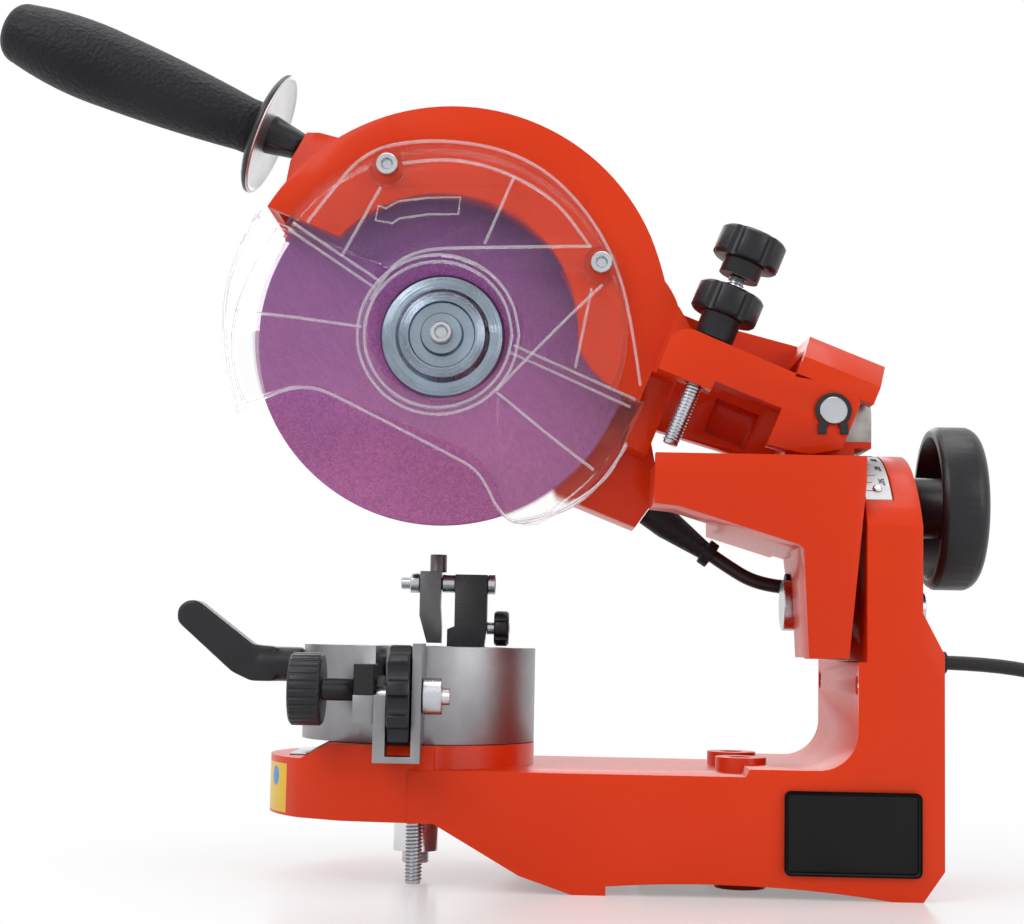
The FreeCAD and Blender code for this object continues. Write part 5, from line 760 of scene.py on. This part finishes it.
# the return spring round the hinge pin
returnSpring = {
    "centre": (0.031, 0.0123, 0.1739),
    "reach": 0.0074, "wire": 0.0008, "pitch": 0.00192, "length": 0.0104,
}


def makeReturnSpring(setup):
    coil = woundRidge("returnSpring", setup["reach"], setup["wire"], 8,
                      setup["pitch"], setup["length"], 32)
    turn = Matrix.Rotation(math.radians(-90), 4, "X")
    coil.matrix_world = Matrix.Translation(setup["centre"]) @ turn
    settle(coil)
    smooth(coil, 60)
    dress(coil, "bright_steel", bodyOf["return_spring"])
    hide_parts("return_spring")


makeReturnSpring(returnSpring)
print("threads and spring wound")


# moulded ribs on the clear guards, in millimetres across and up
upperRibs = {
    "depth": -0.0264,
    "lines": [
        ((-137.4, 256.2), (-151.3, 229.7)),
        ((-87.3, 261.2), (-98.0, 235.2)),
        ((-57.7, 219.2), (-63.3, 189.1)),
        ((-169.9, 242.2), (-136.7, 220.5)),
        ((-171.5, 239.7), (-138.3, 217.8)),
        ((-86.4, 197.3), (-40.9, 177.7)),
        ((-87.7, 194.6), (-42.7, 174.9)),
    ],
    "curves": [
        ((-164.6, 242.3), (-154.1, 256.9), (-145.4, 267.4), (-134.2, 272.9), (-114.3, 274.8), (-92.1, 271.7),
         (-73.9, 262.8), (-58.3, 246.3), (-47.9, 227.1), (-42.4, 204.9), (-39.1, 182.9)),
        ((-129.4, 265.5), (-118.2, 267.2), (-107.3, 267.0), (-97.1, 264.8), (-87.3, 261.2), (-76.4, 255.2),
         (-66.9, 247.0), (-58.5, 234.7)),
    ],
    "arrow": [(-139.0, 243.6), (-138.0, 249.2), (-135.2, 248.2), (-130.6, 251.0), (-119.4, 252.5),
              (-107.4, 252.9), (-108.0, 246.4), (-119.2, 246.2), (-130.0, 244.5), (-132.6, 242.6)],
}
lowerRibs = {
    "depth": -0.0272,
    "lines": [
        ((-191.8, 208.6), (-166.7, 206.1), (-143.1, 203.1)),
        ((-92.4, 179.6), (-74.7, 165.4), (-56.0, 151.2)),
    ],
    "rings": (27.6, 30.2),
    "ringCentre": (-114.6, 200.8),
    "curves": [
        ((-181.5, 246.3), (-188.2, 235.2), (-193.3, 220.0), (-194.5, 209.0), (-193.2, 193.6), (-190.9, 180.5),
         (-187.6, 170.1)),
        ((-175.6, 239.6), (-183.1, 226.9), (-189.0, 212.5), (-191.2, 201.1), (-190.8, 189.8), (-188.6, 180.5),
         (-186.2, 174.9)),
        ((-44.0, 161.5), (-48.3, 152.1), (-54.5, 145.0), (-65.4, 137.4), (-74.9, 133.5), (-84.8, 131.9)),
        ((-140.0, 213.3), (-133.6, 224.7), (-127.0, 230.1), (-119.6, 232.5), (-111.4, 233.4), (-85.0, 234.2),
         (-58.0, 234.9)),
        ((-53.8, 220.4), (-73.5, 201.2), (-92.4, 180.0)),
        ((-186.9, 173.1), (-179.9, 175.1), (-172.6, 178.5), (-165.9, 180.2), (-157.7, 179.6), (-149.1, 175.6),
         (-128.4, 165.5), (-109.7, 156.2), (-99.9, 151.2), (-95.4, 145.0), (-91.9, 137.6), (-87.7, 132.6),
         (-81.8, 130.8), (-74.1, 133.2), (-61.4, 138.2), (-50.5, 149.5), (-44.0, 160.4)),
    ],
}


def makeRib(points, depth, thick, rise, curved=False, closed=False):
    # a rounded bar that follows a line across the guard's face
    curve = bpy.data.curves.new("rib", "CURVE")
    curve.dimensions = "3D"
    curve.twist_mode = "Z_UP"
    curve.fill_mode = "FULL"
    curve.bevel_depth = thick / 2
    curve.bevel_resolution = 2
    curve.extrude = rise / 2
    curve.resolution_u = 5
    curve.use_fill_caps = not closed
    spline = curve.splines.new("NURBS" if curved else "POLY")
    spline.points.add(len(points) - 1)
    for place, (across, up) in enumerate(points):
        spline.points[place].co = (across / 1000, up / 1000, 0, 1)
    if curved:
        spline.order_u = 3
        spline.use_endpoint_u = True
    spline.use_cyclic_u = closed
    rib = bpy.data.objects.new("rib", curve)
    bpy.context.collection.objects.link(rib)
    rib.rotation_euler = (math.radians(90), 0, 0)
    rib.location = (0, depth, 0)
    pick(rib)
    bpy.ops.object.convert(target="MESH")
    rib = bpy.context.object
    settle(rib)
    return rib


def ringLine(centre, radius, steps=24):
    middleX, middleZ = centre
    turns = [2 * math.pi * step / steps for step in range(steps)]
    return [(middleX + radius * math.cos(turn), middleZ + radius * math.sin(turn)) for turn in turns]


ribPlastic = clearPlastic("ribPlastic", 0.72, 0.68)
ribSize = {"thick": 0.0011, "rise": 0.0006}
arrowSize = {"thick": 0.0008, "rise": 0.0004}


def makeGuardRibs(name, setup, node):
    depth = setup["depth"]
    ribs = [makeRib(line, depth, **ribSize) for line in setup["lines"]]
    ribs += [makeRib(line, depth, **ribSize, curved=True) for line in setup["curves"]]
    if "arrow" in setup:
        ribs.append(makeRib(setup["arrow"], depth, **arrowSize, closed=True))
    for radius in setup.get("rings", ()):
        ring = ringLine(setup["ringCentre"], radius)
        ribs.append(makeRib(ring, depth, **ribSize, curved=True, closed=True))
    piece = joinPieces(ribs, name)
    smooth(piece, 40)
    dress(piece, "clear_plastic", bodyOf[node], ribPlastic)


makeGuardRibs("upperGuardRibs", upperRibs, "upper_guard")
makeGuardRibs("lowerGuardRibs", lowerRibs, "lower_guard")
print("guard ribs made")


# the bare black plate on the foot
footPlate = {
    "low": (0.0121, -0.0506, 0.0084),
    "high": (0.0600, -0.0499, 0.0377),
    "corner": 0.0022,
}


def makeFootPlate(setup):
    low, high = Vector(setup["low"]), Vector(setup["high"])
    bpy.ops.mesh.primitive_cube_add(size=1, location=(low + high) / 2, scale=high - low)
    plate = bpy.context.object
    settle(plate)
    pick(plate)
    bpy.ops.object.mode_set(mode="EDIT")
    bpy.ops.mesh.select_all(action="DESELECT")
    bpy.ops.object.mode_set(mode="OBJECT")
    for edge in plate.data.edges:
        first, second = (plate.data.vertices[index].co for index in edge.vertices)
        edge.select = abs(first.y - second.y) > 0.0003
    bpy.ops.object.mode_set(mode="EDIT")
    bpy.ops.mesh.bevel(offset=setup["corner"], segments=5)
    bpy.ops.object.mode_set(mode="OBJECT")
    roundEdges(plate, 0.00015, 1, 60)
    smooth(plate)
    plate.name = "footPlate"
    dress(plate, "black_plastic", "base", glossBlack())


def glossBlack():
    material, shader = newMaterial("footPlateBlack")
    shader.inputs["Specular IOR Level"].default_value = 0.16
    tone = noiseOf(material, 30.0)
    colourFrom(material, shader, tone, (0.004, 0.004, 0.005), (0.008, 0.008, 0.009))
    link(material, rangeOf(material, tone.outputs["Fac"], 0.24, 0.34), shader.inputs["Roughness"])
    return material


makeFootPlate(footPlate)

# the numbers along the tilt scale
scaleNumbers = {
    "radius": 0.05725,
    "across": 0.0473,
    "size": 0.0031,
    "half": 0.0026,
    "numbers": {"80°": 9.0, "70°": 19.0, "60°": 29.0, "50°": 39.0},
}


def scaleInk():
    material, shader = newMaterial("scaleInk")
    tone = noiseOf(material, 800.0)
    colourFrom(material, shader, tone, (0.010, 0.010, 0.011), (0.020, 0.020, 0.022))
    shader.inputs["Roughness"].default_value = 0.5
    return material


def makeScaleNumbers(setup):
    pieces = []
    for text, angle in setup["numbers"].items():
        turn = math.radians(angle)
        outward = Vector((0, -math.sin(turn), math.cos(turn)))
        down = Vector((0, -math.cos(turn), -math.sin(turn)))
        place = Vector((setup["across"], 0, tiltAxisHeight))
        place = place + outward * setup["radius"] - down * setup["half"]
        bpy.ops.object.text_add()
        number = bpy.context.object
        number.data.body = text
        number.data.size = setup["size"]
        number.data.extrude = 0.00006
        across = Vector((1, 0, 0))
        frameTurn = Matrix((down, across, outward)).transposed().to_4x4()
        number.matrix_world = Matrix.Translation(place) @ frameTurn
        pick(number)
        bpy.ops.object.convert(target="MESH")
        number = bpy.context.object
        settle(number)
        pieces.append(number)
    piece = joinPieces(pieces, "scaleNumbers")
    dress(piece, "black_plastic", bodyOf["tilt_scale"], scaleInk())


makeScaleNumbers(scaleNumbers)
print("plate and numbers made")


# the bracket's leg stands flush with its front face: a front wall and the leg's body behind it
# as outlines in millimetres, with their near and far ends along y in metres
bracketCheek = [
    ([(16.8, 147.0), (40.7, 147.0), (34.6, 84.0), (20.5, 84.0), (18.6, 122.6), (16.8, 123.9)],
     -0.0500, -0.0452),
    ([(18.2, 130.0), (39.0, 130.0), (34.6, 84.0), (20.5, 84.0), (18.6, 122.6)], -0.0460, -0.0120),
]

# the web that closes the far end of the arm's window, measured on the level head
armWeb = {
    "along": (-0.0396, -0.0204), "up": (-0.0186, -0.0024), "side": (0.0270, 0.0292),
    "rim": 0.0030, "sink": -0.0010, "edge": 0.0004,
}


def makeArmWeb(setup):
    along, up, side = setup["along"], setup["up"], setup["side"]
    size = (along[1] - along[0], side[1] - side[0], up[1] - up[0])
    bpy.ops.mesh.primitive_cube_add(size=1, scale=size)
    web = bpy.context.object
    settle(web)
    pick(web)
    bpy.ops.object.mode_set(mode="EDIT")
    bpy.ops.mesh.select_all(action="DESELECT")
    bpy.ops.object.mode_set(mode="OBJECT")
    for face in web.data.polygons:
        face.select = face.normal.y < -0.9
    bpy.ops.object.mode_set(mode="EDIT")
    bpy.ops.mesh.inset(thickness=setup["rim"], depth=setup["sink"])
    bpy.ops.object.mode_set(mode="OBJECT")
    centre = hingePlace + headAlong * sum(along) / 2 + headUp * sum(up) / 2
    centre = centre + Vector((0, sum(side) / 2, 0))
    turn = Matrix((headAlong, Vector((0, 1, 0)), headUp)).transposed().to_4x4()
    web.matrix_world = Matrix.Translation(centre) @ turn
    settle(web)
    roundEdges(web, setup["edge"], 2, 50)
    smooth(web)
    web.name = "armWeb"
    dress(web, "orange_paint", "head")


makeArmWeb(armWeb)

# soft edges on the castings, the drum and the pawl, and a moulded form for the lever
softForms = {
    "base_casting": {"width": 0.0016},
    "tilt_bracket": {"width": 0.0014, "added": bracketCheek},
    "head_casting": {"width": 0.0012},
    "clamp_lever": {"melt": {"grid": 0.0006, "factor": 0.5, "passes": 26, "smooth": 80}},
    "vise_drum": {"width": 0.0006},
    "stop_pawl": {"width": 0.0009},
}
remade = ["mains_cord", "cord_coil", "mains_plug", "motor_lead", "return_spring", *threadedRods]
for name, form in softForms.items():
    softCopy(name, bodyOf[name], **form)
for name in nodes:
    if name not in softForms and name not in remade:
        softCopy(name, bodyOf[name], segments=1)
print("edges softened")


# room: pale floor that turns white further out, soft light from above and both sides
room = {
    "floorSize": 12.0,
    "worldStrength": 0.45,
    "whiteLeast": 0.30,
    "whiteFrom": 0.16,
    "whiteTo": 0.36,
    "whiteCentre": (-0.03, 0, 0),
}
lamps = {
    "keyLight": {"place": (-0.9, -1.0, 1.1), "aim": (-0.08, 0, 0.15), "size": (1.0, 0.8), "power": 9.0},
    "fillLight": {"place": (1.1, -0.9, 0.6), "aim": (-0.05, 0, 0.15), "size": (0.9, 0.9), "power": 5.0},
    "topLight": {"place": (-0.1, 0.1, 1.5), "aim": (-0.08, 0, 0.1), "size": (1.4, 1.0), "power": 9.0},
    "rimLight": {"place": (-0.3, 1.3, 0.8), "aim": (-0.08, 0, 0.15), "size": (1.2, 0.6), "power": 5.0},
}


def seenOnly(tree):
    # 1 for rays that the eye, gloss or clear plastic sends out
    path = tree.nodes.new("ShaderNodeLightPath")
    shiny = tree.nodes.new("ShaderNodeMath")
    shiny.operation = "MAXIMUM"
    seen = tree.nodes.new("ShaderNodeMath")
    seen.operation = "MAXIMUM"
    tree.links.new(path.outputs["Is Glossy Ray"], shiny.inputs[0])
    tree.links.new(path.outputs["Is Transmission Ray"], shiny.inputs[1])
    tree.links.new(path.outputs["Is Camera Ray"], seen.inputs[0])
    tree.links.new(shiny.outputs[0], seen.inputs[1])
    return seen.outputs[0]


def paleFloor():
    material, shader = newMaterial("paleFloor")
    tree = material.node_tree
    shader.inputs["Base Color"].default_value = (0.90, 0.90, 0.905, 1)
    grain = noiseOf(material, 3.0)
    link(material, rangeOf(material, grain.outputs["Fac"], 0.16, 0.22), shader.inputs["Roughness"])
    reach = vectorStep(material, "LENGTH", movedPlace(material, room["whiteCentre"]))
    white = rangeOf(material, reach, room["whiteLeast"], 1.0, room["whiteFrom"], room["whiteTo"])
    glow = addNode(material, "ShaderNodeEmission", Color=(1, 1, 1, 1), Strength=1.0)
    mix = tree.nodes.new("ShaderNodeMixShader")
    link(material, numberStep(material, "MULTIPLY", white, seenOnly(tree)), mix.inputs[0])
    link(material, shader.outputs[0], mix.inputs[1])
    link(material, glow.outputs[0], mix.inputs[2])
    link(material, mix.outputs[0], tree.nodes["Material Output"].inputs["Surface"])
    bpy.ops.mesh.primitive_plane_add(size=room["floorSize"], location=(0, 0, 0))
    floor = bpy.context.object
    floor.name = "floor"
    floor.data.materials.append(material)


def areaLight(name, place, aim, size, power):
    bpy.ops.object.light_add(type="AREA", location=place)
    lamp = bpy.context.object
    lamp.name = name
    lamp.data.shape = "RECTANGLE"
    lamp.data.size = size[0]
    lamp.data.size_y = size[1]
    lamp.data.energy = power
    direction = Vector(aim) - Vector(place)
    lamp.rotation_euler = direction.to_track_quat("-Z", "Y").to_euler()


def paleWorld():
    world = bpy.data.worlds.new("paleRoom")
    bpy.context.scene.world = world
    world.use_nodes = True
    tree = world.node_tree
    lit = tree.nodes["Background"]
    lit.inputs["Color"].default_value = (0.94, 0.96, 1.0, 1)
    lit.inputs["Strength"].default_value = room["worldStrength"]
    seen = tree.nodes.new("ShaderNodeBackground")
    seen.inputs["Color"].default_value = (1, 1, 1, 1)
    seen.inputs["Strength"].default_value = 1.0
    mix = tree.nodes.new("ShaderNodeMixShader")
    tree.links.new(seenOnly(tree), mix.inputs["Fac"])
    tree.links.new(lit.outputs[0], mix.inputs[1])
    tree.links.new(seen.outputs[0], mix.inputs[2])
    tree.links.new(mix.outputs[0], tree.nodes["World Output"].inputs["Surface"])


deselectAll()
paleFloor()
paleWorld()
for name, lamp in lamps.items():
    areaLight(name, **lamp)
bpy.context.scene.view_settings.view_transform = "Standard"
print("room lit")
